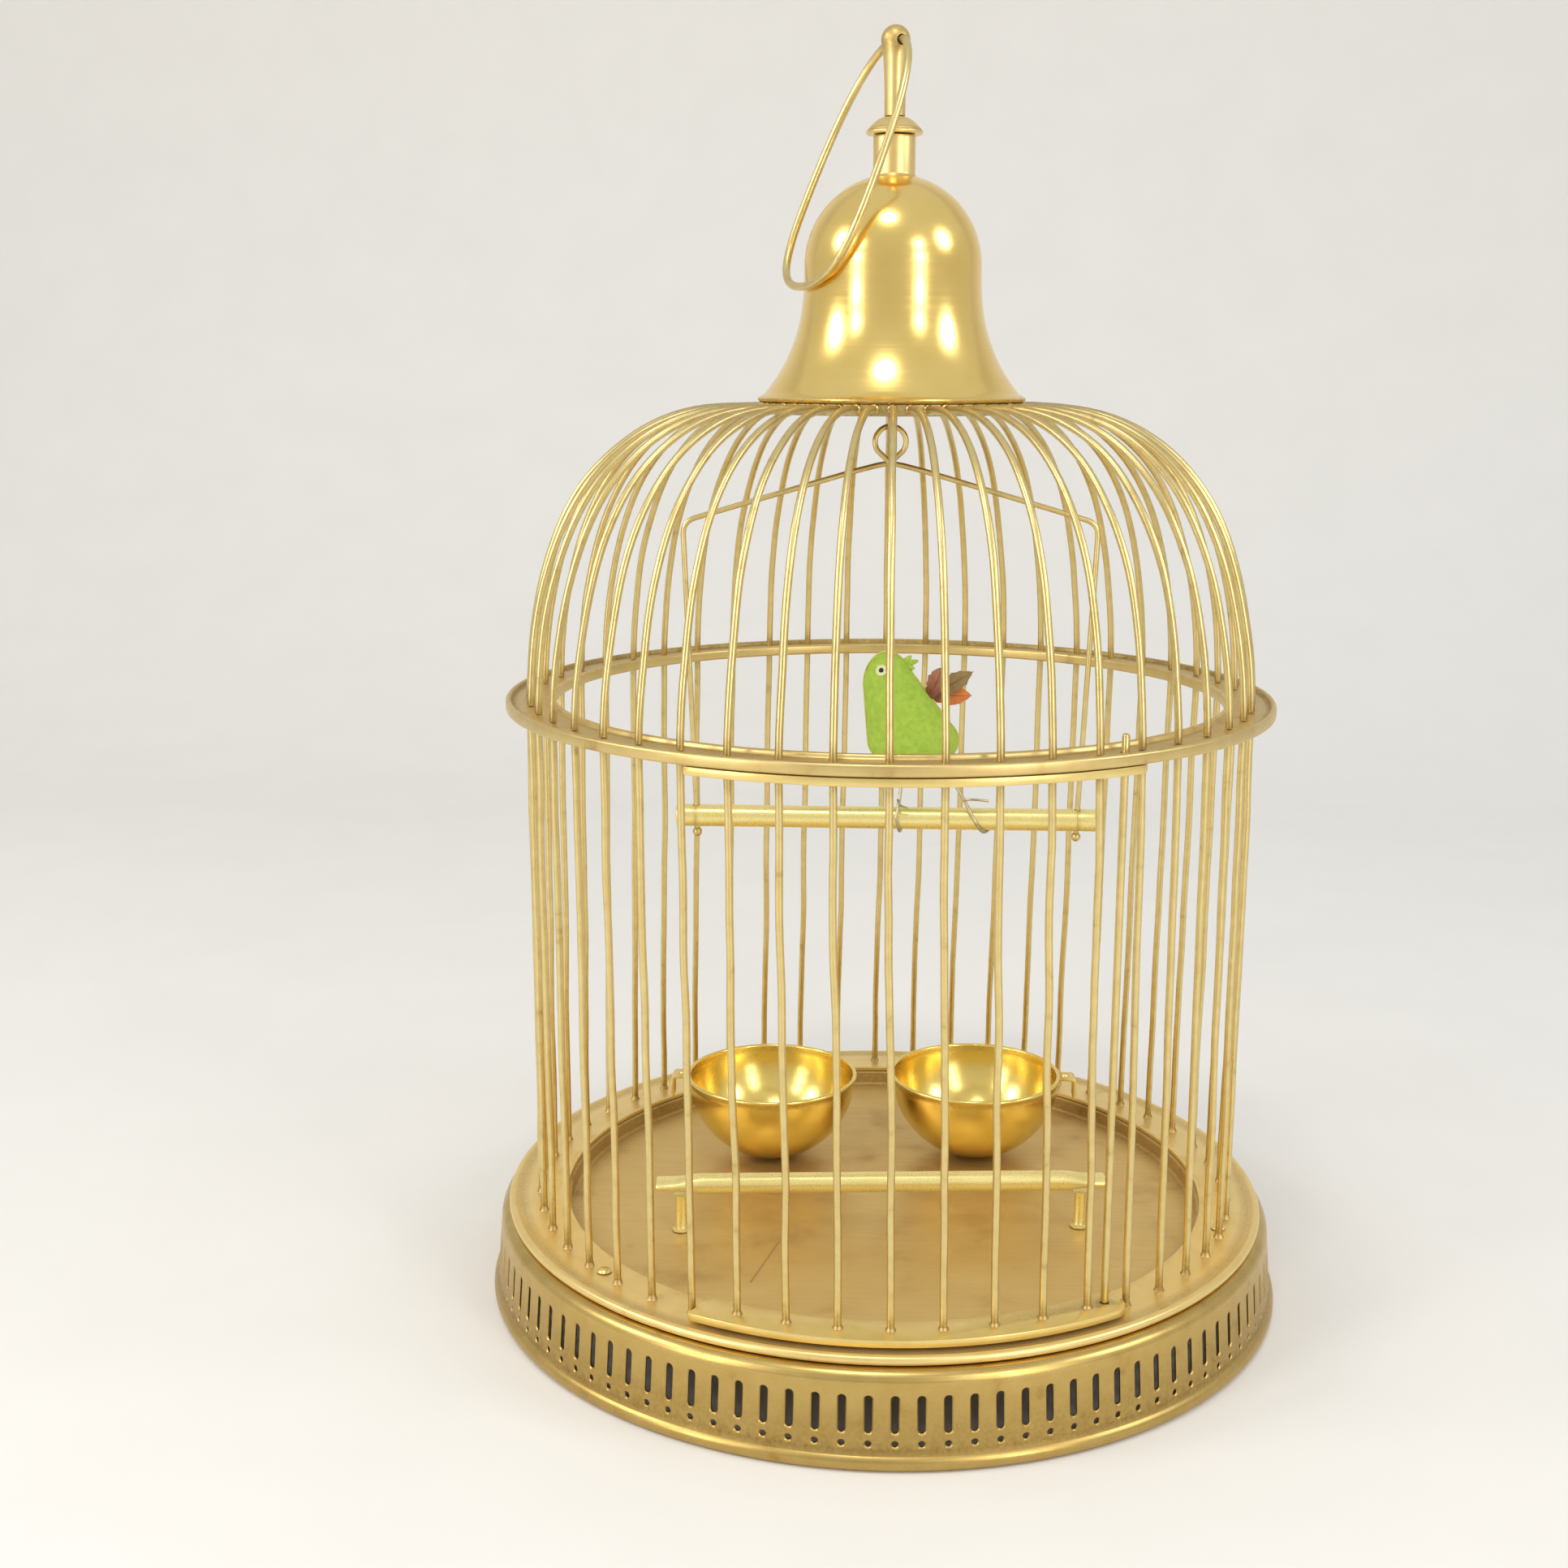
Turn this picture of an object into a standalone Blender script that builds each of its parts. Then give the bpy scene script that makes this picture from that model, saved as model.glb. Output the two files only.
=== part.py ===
"""A brass dome bird cage with a felt bird on its swing.

Metres, +Z up. The origin is the middle of the base's underside, the door faces -Y.
A place on the cage is given by its azimuth: 0 is the front, -Y, and it grows towards +X.
"""

import math

import bmesh
import bpy
from mathutils import Matrix, Vector
from mathutils.geometry import interpolate_bezier

# Clearances
SEAT_GAP = 0.0003
RUNNING_GAP = 0.0004

# Cage wires
WIRE_COUNT = 48
WIRE_PHASE_DEG = 1.0
WIRE_CIRCLE_R = 0.130
WIRE_D = 0.0025
WIRE_SIDES = 5
DOME_STEPS = 6
DOME_LOW_HANDLE_INSET = 0.0010
DOME_LOW_HANDLE_RISE = 0.0633
DOME_HIGH_HANDLE_INSET = 0.0380
DOME_HIGH_HANDLE_RISE = 0.0080

# Mid ring, a pressed flat ring with raised lips
RING_OUTWARD = 0.0084
RING_INWARD = 0.0095
RING_HEIGHT = 0.0041
RING_TOP_Z = 0.2267
RING_WEB = 0.0025
LIP_WIDTH = 0.0022
LIP_ROUND = 0.0008

# Crown ring that gathers the dome wires under the bell
CROWN_OUTER_R = 0.0462
CROWN_INNER_R = 0.0400
CROWN_HEIGHT = 0.0040
CROWN_TOP_Z = 0.3300

# Base: pierced skirt, floor tray, bottom ring
SHEET = 0.0010
SKIRT_OUTWARD = 0.0152
SKIRT_FLARE = 0.0018
SKIRT_FOOT_INSET = 0.0013
SKIRT_BEAD_R = 0.0030
SKIRT_FOOT_FLAT = 0.0008
SKIRT_SHOULDER_R = 0.0047
SKIRT_TOP_Z = 0.0332
SKIRT_LEDGE_INWARD = 0.0075
SLOT_COUNT = 108
SLOTS_PER_FACET = 2
SLOT_PHASE_DEG = 2.1
SLOT_WIDTH = 0.0024
SLOT_LOW_Z = 0.0128
SLOT_HIGH_Z = 0.0252
SLOT_MARGIN = 0.0010
TRAY_SHEET = 0.0012
TRAY_OUTWARD = 0.0070
TRAY_WELL_INWARD = 0.0110
TRAY_WELL_DEPTH = 0.0057
PAN_OUTWARD = 0.0122
PAN_INWARD = 0.0098
PAN_SHEET = 0.0012
PAN_BEAD_R = 0.0017
PAN_RIB = 0.0006
SCREW_COUNT = 3
SCREW_FIRST_DEG = -47.75
SCREW_INWARD = 0.0015
SCREW_HEAD_R = 0.0027
SCREW_HEAD_H = 0.0015
SCREW_SHANK_R = 0.0012
# Each step of the domed head: its share of the head's radius and of its height
SCREW_DOME = ((1.0, 0.0), (0.85, 0.6), (0.45, 1.0), (0.0, 1.0))

# Door
DOOR_FIRST_WIRE = -3
DOOR_LAST_WIRE = 4
RAIL_HALF_WIDTH = 0.0069
RAIL_THICK = 0.0028
RAIL_FREE_END_DEG = -27.2
RAIL_STEPS = 18
DOOR_GAP = 0.0005
PIVOT_STUB = 0.0045

# Bell, neck, collar and finial
BELL_CROWN_R = 0.0310
BELL_FLARE_H = 0.0462
BELL_RIM_R = 0.0472
BELL_FLARE_POWER = 2.6
BELL_SHEET = 0.0010
BELL_SEGMENTS = 32
BELL_FLARE_STEPS = 6
BELL_CROWN_STEPS = 6
NECK_R = 0.0073
NECK_H = 0.0127
COLLAR_R = 0.0099
COLLAR_H = 0.0058
# Each step of the collar's domed top: its share of the collar's radius and of its height
COLLAR_DOME = ((1.0, 0.0), (1.0, 0.25), (0.80, 0.60), (0.50, 1.0))
FINIAL_LOW_R = 0.0036
FINIAL_HIGH_R = 0.0050
FINIAL_H = 0.0299
FINIAL_HEAD_DEG = 75.0
CROSS_HOLE_DROP = 0.0055
STEM_R = 0.0022
STEM_REACH = 0.0115
NUT_ACROSS = 0.0090
NUT_HEIGHT = 0.0035

# Bail
BAIL_WIRE_D = 0.0028
BAIL_YAW_DEG = 27.0
BAIL_LENGTH = 0.0881
BAIL_HALF_WIDTH = 0.0255
BAIL_WIDEST_AT = 0.0580
BAIL_TOP_HALF = 0.0062
BAIL_SHOULDER_HALF = 0.0200
BAIL_SHOULDER_DROP = 0.0060
BAIL_FOOT_FULLNESS = 0.72
BAIL_SKEW = 0.05
BAIL_CURVE_STEPS = 5
BAIL_SIDES = 6
LEAN_ROUNDS = 6

# Swing
SWING_WIRE_D = 0.0020
SWING_HANG_DROP = 0.0085
SWING_LOOP_R = 0.0055
SWING_CROSS_DROP = 0.0129
SWING_CORNER_HALF = 0.0745
SWING_CORNER_DROP = 0.0340
SWING_CORNER_ROUND = 0.0030
SWING_SHOULDER_HALF = 0.0120
SWING_FOOT_HALF = 0.0702
SWING_LOOP_FROM_DEG = -35.0
SWING_LOOP_STEPS = 12
SWING_END_BALL_R = 0.0018
# Each ring of a foot's ball: its share of the ball's radius, and its height in ball radii
SWING_END_BALL = ((0.25, -1.0), (0.75, -0.7), (1.0, 0.0), (0.8, 0.7))
PERCH_DROP = 0.1429
PERCH_R = 0.0041
PERCH_HALF = 0.0780
PERCH_END_ROUND = 0.0006
HANGER_D = 0.0022
HANGER_HOOK_R = 0.0045
HANGER_HOOK_FROM_DEG = 50.0
HANGER_TIP = 0.0032

# Cups
CUP_R = 0.0335
CUP_SHEET = 0.0010
CUP_SEGMENTS = 24
CUP_STEPS = 6
CUP_LEFT_X = -0.0446
CUP_LEFT_Y = 0.0385
CUP_RIGHT_X = 0.0373
CUP_RIGHT_Y = 0.0440
LUG_WIDTH = 0.0080
LUG_REACH = 0.0070
LUG_DROP = 0.0090
LUG_THICK = 0.0012

# Floor perch
FLOOR_PERCH_R = 0.00375
FLOOR_PERCH_HALF = 0.0830
FLOOR_PERCH_END = 0.0085
FLOOR_PERCH_NECK = 0.0030
FLOOR_PERCH_PINCH = 0.60
FLOOR_PERCH_TIP = 0.45
FLOOR_PERCH_Y = -0.0302
FLOOR_PERCH_YAW_DEG = 4.5
FLOOR_PERCH_LEG_H = 0.0140
FLOOR_PERCH_LEG_R = 0.0020
FLOOR_PERCH_LEG_X = 0.0740

# Bird
BODY_X = 0.0096
BODY_RISE = 0.0295
BODY_HALF_LENGTH = 0.0166
BODY_HALF_WIDTH = 0.0120
BODY_HALF_HEIGHT = 0.0110
HEAD_FORWARD = 0.0097
HEAD_RISE = 0.0208
HEAD_HALF_LENGTH = 0.0086
HEAD_HALF_WIDTH = 0.0080
HEAD_HALF_HEIGHT = 0.0118
BIRD_SEGMENTS = 16
BIRD_RINGS = 9
CREST_RISE = 0.0075
CREST_LENGTH = 0.0034
CREST_THICK = 0.0018
CREST_WIDTH = 0.0026
CREST_NOTCH = 0.30
EYE_FORWARD = 0.0021
EYE_RISE = 0.0058
EYE_R = 0.0021
EYE_THICK = 0.0008
# Each round of an eye: its share of the thickness, and of the radius
EYE_ROUNDS = ((0.0, 0.85), (0.5, 1.0), (1.0, 0.8))
FEATHER_ROOT_BACK = 0.0064
FEATHER_ROOT_RISE = 0.0171
FEATHER_LENGTHS = (0.0110, 0.0175, 0.0150)
FEATHER_WIDTH = 0.0070
FEATHER_THICK = 0.0010
FEATHER_DEGS = (64.0, 27.0, -4.0)
# A feather's outline: shares of its length along the shaft and of its width across it
FEATHER_BLADE = ((0.0, -0.12), (0.35, -0.45), (0.75, -0.5), (1.0, -0.1), (0.95, 0.3), (0.5, 0.5), (0.0, 0.12))
LEG_WIRE_R = 0.0006
LEG_SIDES = 5
LEFT_LEG_TOP = -0.0040
LEFT_LEG_FOOT = -0.0058
RIGHT_LEG_TOP = 0.0098
RIGHT_LEG_FOOT = 0.0226
LEG_WRAP_FROM_DEG = 165.0
LEG_WRAP_DEG = 230.0
LEG_WRAP_STEPS = 9
LEFT_LEG_DRIFT = 0.0035
RIGHT_LEG_DRIFT = 0.0105

# Edges flatter than this are shaded smooth
SMOOTH_DEG = 40.0

# Looks: colour, roughness, metallic
BRASS = ((0.60, 0.43, 0.16, 1.0), 0.32, 1.0)
TARNISHED = ((0.42, 0.32, 0.17, 1.0), 0.50, 1.0)
POLISHED = ((0.80, 0.56, 0.18, 1.0), 0.14, 1.0)
WIRE_BRASS = ((0.66, 0.52, 0.26, 1.0), 0.38, 1.0)
FELT = ((0.27, 0.50, 0.06, 1.0), 0.95, 0.0)
FEATHER = ((0.30, 0.10, 0.04, 1.0), 0.85, 0.0)
EYE_WHITE = ((0.75, 0.78, 0.55, 1.0), 0.45, 0.0)
LEG_WIRE = ((0.45, 0.38, 0.28, 1.0), 0.45, 1.0)


def polar(radius, azimuth_deg, z=0.0):
    """The point at a radius and azimuth, where azimuth 0 is the front, -Y."""
    a = math.radians(azimuth_deg)
    return Vector((radius * math.sin(a), -radius * math.cos(a), z))


def arc(centre, radius, start_deg, end_deg, steps):
    """Points (u, v) along an arc, both ends included."""
    turn = (end_deg - start_deg) / steps
    angles = [math.radians(start_deg + turn * i) for i in range(steps + 1)]
    return [(centre[0] + radius * math.cos(a), centre[1] + radius * math.sin(a)) for a in angles]


def wire_azimuth(number):
    """The azimuth of a cage wire; 0 is the one in front, and numbers grow towards +X."""
    return WIRE_PHASE_DEG + number * 360.0 / WIRE_COUNT


def make_material(name, look):
    colour, roughness, metallic = look
    material = bpy.data.materials.new(name)
    material.use_nodes = True
    shader = material.node_tree.nodes["Principled BSDF"]
    shader.inputs["Base Color"].default_value = colour
    shader.inputs["Roughness"].default_value = roughness
    shader.inputs["Metallic"].default_value = metallic
    material.diffuse_color = colour
    return material


def finish(name, bm, look, origin=(0.0, 0.0, 0.0), carrier=None):
    """Makes an object of a bmesh given in world coordinates, with its origin at a point."""
    bmesh.ops.recalc_face_normals(bm, faces=bm.faces)
    bmesh.ops.translate(bm, verts=bm.verts, vec=-Vector(origin))
    mesh = bpy.data.meshes.new(name)
    bm.to_mesh(mesh)
    bm.free()
    mesh.materials.append(make_material(name, look))
    mesh.shade_smooth()
    mesh.set_sharp_from_angle(angle=math.radians(SMOOTH_DEG))
    obj = bpy.data.objects.new(name, mesh)
    bpy.context.scene.collection.objects.link(obj)
    obj.location = origin
    if carrier is not None:
        obj.location = Vector(origin) - carrier.location
        obj.parent = carrier
    return obj


def make_joint_empty(name, place):
    """An empty on a joint's axis, which carries the pieces that move with it."""
    empty = bpy.data.objects.new(name, None)
    empty.empty_display_size = 0.01
    empty.location = place
    bpy.context.scene.collection.objects.link(empty)
    return empty


def boolean(obj, operation, bm):
    """Adds a Boolean to an object with a hidden helper made of a bmesh in world coordinates."""
    bmesh.ops.recalc_face_normals(bm, faces=bm.faces)
    mesh = bpy.data.meshes.new(f"{obj.name}_{operation.lower()}")
    bm.to_mesh(mesh)
    bm.free()
    helper = bpy.data.objects.new(mesh.name, mesh)
    bpy.context.scene.collection.objects.link(helper)
    helper.hide_render = True
    helper.display_type = "WIRE"
    modifier = obj.modifiers.new(mesh.name, "BOOLEAN")
    modifier.operation = operation
    modifier.solver = "EXACT"
    modifier.object = helper


def add_revolve(bm, profile, segments, start_deg=0.0):
    """Turns a closed (r, z) profile about Z. A point at r = 0 becomes a pole."""
    columns = []
    for r, z in profile:
        count = segments if r > 0.0 else 1
        columns.append([bm.verts.new(polar(r, start_deg + 360.0 * i / segments, z)) for i in range(count)])
    for low, high in zip(columns, columns[1:] + columns[:1]):
        for i in range(segments):
            j = i + 1
            corners = [low[i % len(low)], low[j % len(low)], high[j % len(high)], high[i % len(high)]]
            distinct = list(dict.fromkeys(corners))
            if len(distinct) > 2:
                bm.faces.new(distinct)


def add_tube(bm, points, radius, sides, side_axis, closed=False):
    """Sweeps a round section along points. side_axis is a direction that the path never follows."""
    points = [Vector(p) for p in points]
    radii = radius if isinstance(radius, list) else [radius] * len(points)
    side_axis = Vector(side_axis)
    rings = []
    for i, point in enumerate(points):
        before = points[i - 1] if closed or i > 0 else point
        after = points[(i + 1) % len(points)] if closed or i + 1 < len(points) else point
        tangent = (after - before).normalized()
        u = (side_axis - side_axis.dot(tangent) * tangent).normalized()
        v = tangent.cross(u)
        ring = []
        for s in range(sides):
            a = 2.0 * math.pi * (s + 0.5) / sides
            ring.append(bm.verts.new(point + radii[i] * (math.cos(a) * u + math.sin(a) * v)))
        rings.append(ring)
    spans = list(zip(rings, rings[1:]))
    if closed:
        spans.append((rings[-1], rings[0]))
    for low, high in spans:
        for s in range(sides):
            t = (s + 1) % sides
            bm.faces.new((low[s], low[t], high[t], high[s]))
    if not closed:
        bm.faces.new(rings[0])
        bm.faces.new(rings[-1][::-1])


def add_prism(bm, outline, low_z, high_z):
    """Raises an (x, y) outline from one height to another."""
    low = [bm.verts.new((x, y, low_z)) for x, y in outline]
    high = [bm.verts.new((x, y, high_z)) for x, y in outline]
    for i in range(len(outline)):
        j = (i + 1) % len(outline)
        bm.faces.new((low[i], low[j], high[j], high[i]))
    bm.faces.new(low)
    bm.faces.new(high)


def add_plate(bm, outline, near_y, far_y):
    """Raises an (x, z) outline from one y to another."""
    near = [bm.verts.new((x, near_y, z)) for x, z in outline]
    far = [bm.verts.new((x, far_y, z)) for x, z in outline]
    for i in range(len(outline)):
        j = (i + 1) % len(outline)
        bm.faces.new((near[i], near[j], far[j], far[i]))
    bm.faces.new(near)
    bm.faces.new(far)


def revolved(name, profile, segments, look, start_deg=0.0, carrier=None, origin=(0.0, 0.0, 0.0)):
    bm = bmesh.new()
    add_revolve(bm, profile, segments, start_deg)
    return finish(name, bm, look, origin, carrier)


def post(bm, place, radius, low_z, high_z, sides=8):
    """Adds an upright round bar."""
    ends = [(place[0], place[1], low_z), (place[0], place[1], high_z)]
    add_tube(bm, ends, radius, sides, (1.0, 0.0, 0.0))


# Radii, heights and places that the pieces share, worked out from the driving dimensions
RING_OUTER_R = WIRE_CIRCLE_R + RING_OUTWARD
RING_INNER_R = WIRE_CIRCLE_R - RING_INWARD
SKIRT_HIGH_R = WIRE_CIRCLE_R + SKIRT_OUTWARD
SKIRT_LOW_R = SKIRT_HIGH_R + SKIRT_FLARE
SKIRT_FOOT_R = SKIRT_LOW_R - SKIRT_FOOT_INSET
SKIRT_LEDGE_R = WIRE_CIRCLE_R - SKIRT_LEDGE_INWARD
TRAY_R = WIRE_CIRCLE_R + TRAY_OUTWARD
TRAY_WELL_R = WIRE_CIRCLE_R - TRAY_WELL_INWARD
PAN_OUTER_R = WIRE_CIRCLE_R + PAN_OUTWARD
PAN_INNER_R = WIRE_CIRCLE_R - PAN_INWARD
SCREW_CIRCLE_R = WIRE_CIRCLE_R - SCREW_INWARD
TRAY_LOW_Z = SKIRT_TOP_Z + SEAT_GAP
TRAY_TOP_Z = TRAY_LOW_Z + TRAY_SHEET
FLOOR_Z = TRAY_TOP_Z - TRAY_WELL_DEPTH
PAN_LOW_Z = TRAY_TOP_Z + SEAT_GAP
PAN_TOP_Z = PAN_LOW_Z + PAN_SHEET
PAN_BEAD_Z = TRAY_LOW_Z + PAN_BEAD_R
WIRE_R = WIRE_D / 2.0
RING_LOW_Z = RING_TOP_Z - RING_HEIGHT
WIRE_FOOT_Z = PAN_TOP_Z + SEAT_GAP
PIVOT_AZIMUTH_DEG = wire_azimuth(DOOR_LAST_WIRE + 0.5)
PIVOT_PLACE = polar(WIRE_CIRCLE_R, PIVOT_AZIMUTH_DEG)
PIVOT_HOLE_R = WIRE_R + RUNNING_GAP
LOW_RAIL_Z = PAN_BEAD_Z + PAN_BEAD_R + SEAT_GAP
HIGH_RAIL_Z = RING_LOW_Z - DOOR_GAP - RAIL_THICK
SCREW_PLACES = [polar(SCREW_CIRCLE_R, SCREW_FIRST_DEG + 360.0 * i / SCREW_COUNT) for i in range(SCREW_COUNT)]
SCREW_HOLE_R = SCREW_SHANK_R + SEAT_GAP
CROWN_LOW_Z = CROWN_TOP_Z - CROWN_HEIGHT
BELL_RIM_Z = CROWN_TOP_Z + SEAT_GAP
DOME_LOW_HANDLE_Z = RING_TOP_Z + DOME_LOW_HANDLE_RISE
DOME_HIGH_HANDLE_Z = CROWN_TOP_Z + DOME_HIGH_HANDLE_RISE
BELL_CROWN_Z = BELL_RIM_Z + BELL_FLARE_H
BELL_TOP_Z = BELL_CROWN_Z + BELL_CROWN_R
NECK_TOP_Z = BELL_TOP_Z + NECK_H
STEM_HOLE_R = STEM_R + SEAT_GAP
STEM_END_Z = BELL_TOP_Z - STEM_REACH
COLLAR_LOW_Z = NECK_TOP_Z + SEAT_GAP
FINIAL_LOW_Z = COLLAR_LOW_Z + COLLAR_H + SEAT_GAP
FINIAL_TOP_Z = FINIAL_LOW_Z + FINIAL_H
CROSS_HOLE_Z = FINIAL_TOP_Z - CROSS_HOLE_DROP
SWING_HANG_Z = CROWN_TOP_Z - SWING_HANG_DROP
SWING_CROSS_Z = SWING_HANG_Z - SWING_CROSS_DROP
SWING_CORNER_Z = SWING_HANG_Z - SWING_CORNER_DROP
PERCH_Z = SWING_HANG_Z - PERCH_DROP
SEGMENT_START_DEG = wire_azimuth(0.5)
CUP_LEFT = (CUP_LEFT_X, CUP_LEFT_Y)
CUP_RIGHT = (CUP_RIGHT_X, CUP_RIGHT_Y)
BODY_CENTRE = Vector((BODY_X, 0.0, PERCH_Z + BODY_RISE))
BODY_RADII = (BODY_HALF_LENGTH, BODY_HALF_WIDTH, BODY_HALF_HEIGHT)
HEAD_CENTRE = BODY_CENTRE + Vector((-HEAD_FORWARD, 0.0, HEAD_RISE))
HEAD_RADII = (HEAD_HALF_LENGTH, HEAD_HALF_WIDTH, HEAD_HALF_HEIGHT)


def slot_points(corners, low_z, high_z):
    """The corners of a slot in a wall panel given by its low left, low right, high right and high left."""
    low_left, low_right, high_right, high_left = corners
    half_w = SLOT_WIDTH / 2.0
    outline = [(-half_w, SLOT_LOW_Z), (half_w, SLOT_LOW_Z), (half_w, SLOT_HIGH_Z), (-half_w, SLOT_HIGH_Z)]
    points = []
    for u, z in outline:
        share = (z - low_z) / (high_z - low_z)
        left = low_left.lerp(high_left, share)
        right = low_right.lerp(high_right, share)
        points.append((left + right) / 2.0 + (right - left).normalized() * u)
    return points


def skirt_profile():
    """The skirt's section, from the ledge's inner edge over the shoulder to the foot and back inside.

    Returns the points and the indices of the outer and the inner wall's lower points.
    """
    shoulder = (SKIRT_HIGH_R - SKIRT_SHOULDER_R, SKIRT_TOP_Z - SKIRT_SHOULDER_R)
    bead = (SKIRT_FOOT_R, SKIRT_BEAD_R)
    wall_low_z = SLOT_LOW_Z - SLOT_MARGIN
    wall_high_z = SLOT_HIGH_Z + SLOT_MARGIN
    slope = (SKIRT_LOW_R - SKIRT_HIGH_R) / (shoulder[1] - 2.0 * SKIRT_BEAD_R)

    def wall_r(z):
        return SKIRT_LOW_R - slope * (z - 2.0 * SKIRT_BEAD_R)

    points = [(SKIRT_LEDGE_R, SKIRT_TOP_Z - SHEET), (SKIRT_LEDGE_R, SKIRT_TOP_Z)]
    points += arc(shoulder, SKIRT_SHOULDER_R, 90.0, 0.0, 3)
    points += [(wall_r(wall_high_z), wall_high_z)]
    outer = len(points)
    points += [(wall_r(wall_low_z), wall_low_z)]
    points += arc(bead, SKIRT_BEAD_R, 40.0, -25.0, 2)
    points += [(SKIRT_FOOT_R + SKIRT_FOOT_FLAT, 0.0), (SKIRT_FOOT_R - SKIRT_FOOT_FLAT, 0.0)]
    points += arc(bead, SKIRT_BEAD_R, 205.0, 140.0, 1)
    inner = len(points)
    points += [(wall_r(wall_low_z) - SHEET, wall_low_z), (wall_r(wall_high_z) - SHEET, wall_high_z)]
    points += arc(shoulder, SKIRT_SHOULDER_R - SHEET, 30.0, 90.0, 1)
    return points, outer, inner


def slotted_band(bm, low, high, low_z, high_z):
    """Panels of wall between two rings of vertices, each with a slot left open. Returns the slots' rims."""
    rims = []
    for i in range(SLOT_COUNT):
        j = (i + 1) % SLOT_COUNT
        corners = (low[i], low[j], high[j], high[i])
        rim = [bm.verts.new(p) for p in slot_points([c.co for c in corners], low_z, high_z)]
        for s in range(4):
            t = (s + 1) % 4
            bm.faces.new((corners[s], corners[t], rim[t], rim[s]))
        rims.append(rim)
    return rims


def make_base_skirt():
    """The skirt turned in flat facets that each hold a few slots, every slot walled through the sheet."""
    profile, outer, inner = skirt_profile()
    bm = bmesh.new()
    facets = SLOT_COUNT // SLOTS_PER_FACET
    start = SLOT_PHASE_DEG - 180.0 / SLOT_COUNT
    band = {outer - 1, outer, inner, inner + 1}
    columns = []
    for number, (r, z) in enumerate(profile):
        corners = [polar(r, start + 360.0 * i / facets, z) for i in range(facets)]
        if number in band:
            ends = zip(corners, corners[1:] + corners[:1])
            corners = [a.lerp(b, k / SLOTS_PER_FACET) for a, b in ends for k in range(SLOTS_PER_FACET)]
        columns.append([bm.verts.new(p) for p in corners])
    low_z, high_z = profile[outer][1], profile[outer - 1][1]
    outer_rims = slotted_band(bm, columns[outer], columns[outer - 1], low_z, high_z)
    inner_rims = slotted_band(bm, columns[inner], columns[inner + 1], low_z, high_z)
    for outside, inside in zip(outer_rims, inner_rims):
        for s in range(4):
            t = (s + 1) % 4
            bm.faces.new((outside[s], outside[t], inside[t], inside[s]))
    for a in range(len(profile)):
        b = (a + 1) % len(profile)
        if a in band and b in band and (a, b) != (outer, inner):
            continue
        for i in range(facets):
            bm.faces.new(facet_edge(columns[a], i, facets) + facet_edge(columns[b], i, facets)[::-1])
    skirt = finish("base_skirt", bm, BRASS)
    cut_screw_holes(skirt, SKIRT_TOP_Z - 2.0 * SHEET, SKIRT_TOP_Z + SHEET)


def facet_edge(ring, facet, facets):
    """The vertices of a ring along one facet, both ends included."""
    step = len(ring) // facets
    return [ring[(facet * step + k) % len(ring)] for k in range(step + 1)]


def cut_screw_holes(obj, low_z, high_z):
    bm = bmesh.new()
    for place in SCREW_PLACES:
        post(bm, place, SCREW_HOLE_R, low_z, high_z)
    boolean(obj, "DIFFERENCE", bm)


def make_floor_tray():
    """The dished floor whose flange is held between the skirt and the bottom ring."""
    well_outer_r = TRAY_WELL_R + TRAY_SHEET
    fillet = 0.6 * TRAY_SHEET
    profile = [
        (0.0, FLOOR_Z - TRAY_SHEET),
        (well_outer_r - fillet, FLOOR_Z - TRAY_SHEET),
        (well_outer_r, FLOOR_Z - TRAY_SHEET + fillet),
        (well_outer_r, TRAY_LOW_Z),
        (TRAY_R, TRAY_LOW_Z),
        (TRAY_R, TRAY_TOP_Z),
        (TRAY_WELL_R, TRAY_TOP_Z),
        (TRAY_WELL_R, FLOOR_Z + fillet),
        (TRAY_WELL_R - fillet, FLOOR_Z),
        (0.0, FLOOR_Z),
    ]
    tray = revolved("floor_tray", profile, WIRE_COUNT, TARNISHED, SEGMENT_START_DEG)
    cut_screw_holes(tray, TRAY_LOW_Z - SHEET, TRAY_TOP_Z + SHEET)


def make_bottom_ring():
    """The flat ring that the cage wires stand in, with a rolled bead outside and a low rib at each edge."""
    bead = (PAN_OUTER_R - PAN_BEAD_R, PAN_BEAD_Z)
    rib_out = TRAY_R + SEAT_GAP
    profile = [
        (PAN_INNER_R, PAN_LOW_Z),
        (PAN_INNER_R, PAN_TOP_Z),
        (PAN_INNER_R + PAN_RIB, PAN_TOP_Z + PAN_RIB / 2.0),
        (PAN_INNER_R + 3.0 * PAN_RIB, PAN_TOP_Z),
        (rib_out, PAN_TOP_Z),
        (rib_out + PAN_RIB, PAN_TOP_Z - PAN_RIB),
    ]
    profile += arc(bead, PAN_BEAD_R, 110.0, -110.0, 4)
    profile += [(rib_out + PAN_RIB, PAN_LOW_Z)]
    ring = revolved("bottom_ring", profile, WIRE_COUNT, BRASS, SEGMENT_START_DEG)
    cut_screw_holes(ring, PAN_LOW_Z - SHEET, PAN_TOP_Z + SHEET)
    bm = bmesh.new()
    post(bm, PIVOT_PLACE, PIVOT_HOLE_R, PAN_LOW_Z - SHEET, PAN_TOP_Z + SHEET)
    boolean(ring, "DIFFERENCE", bm)


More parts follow.
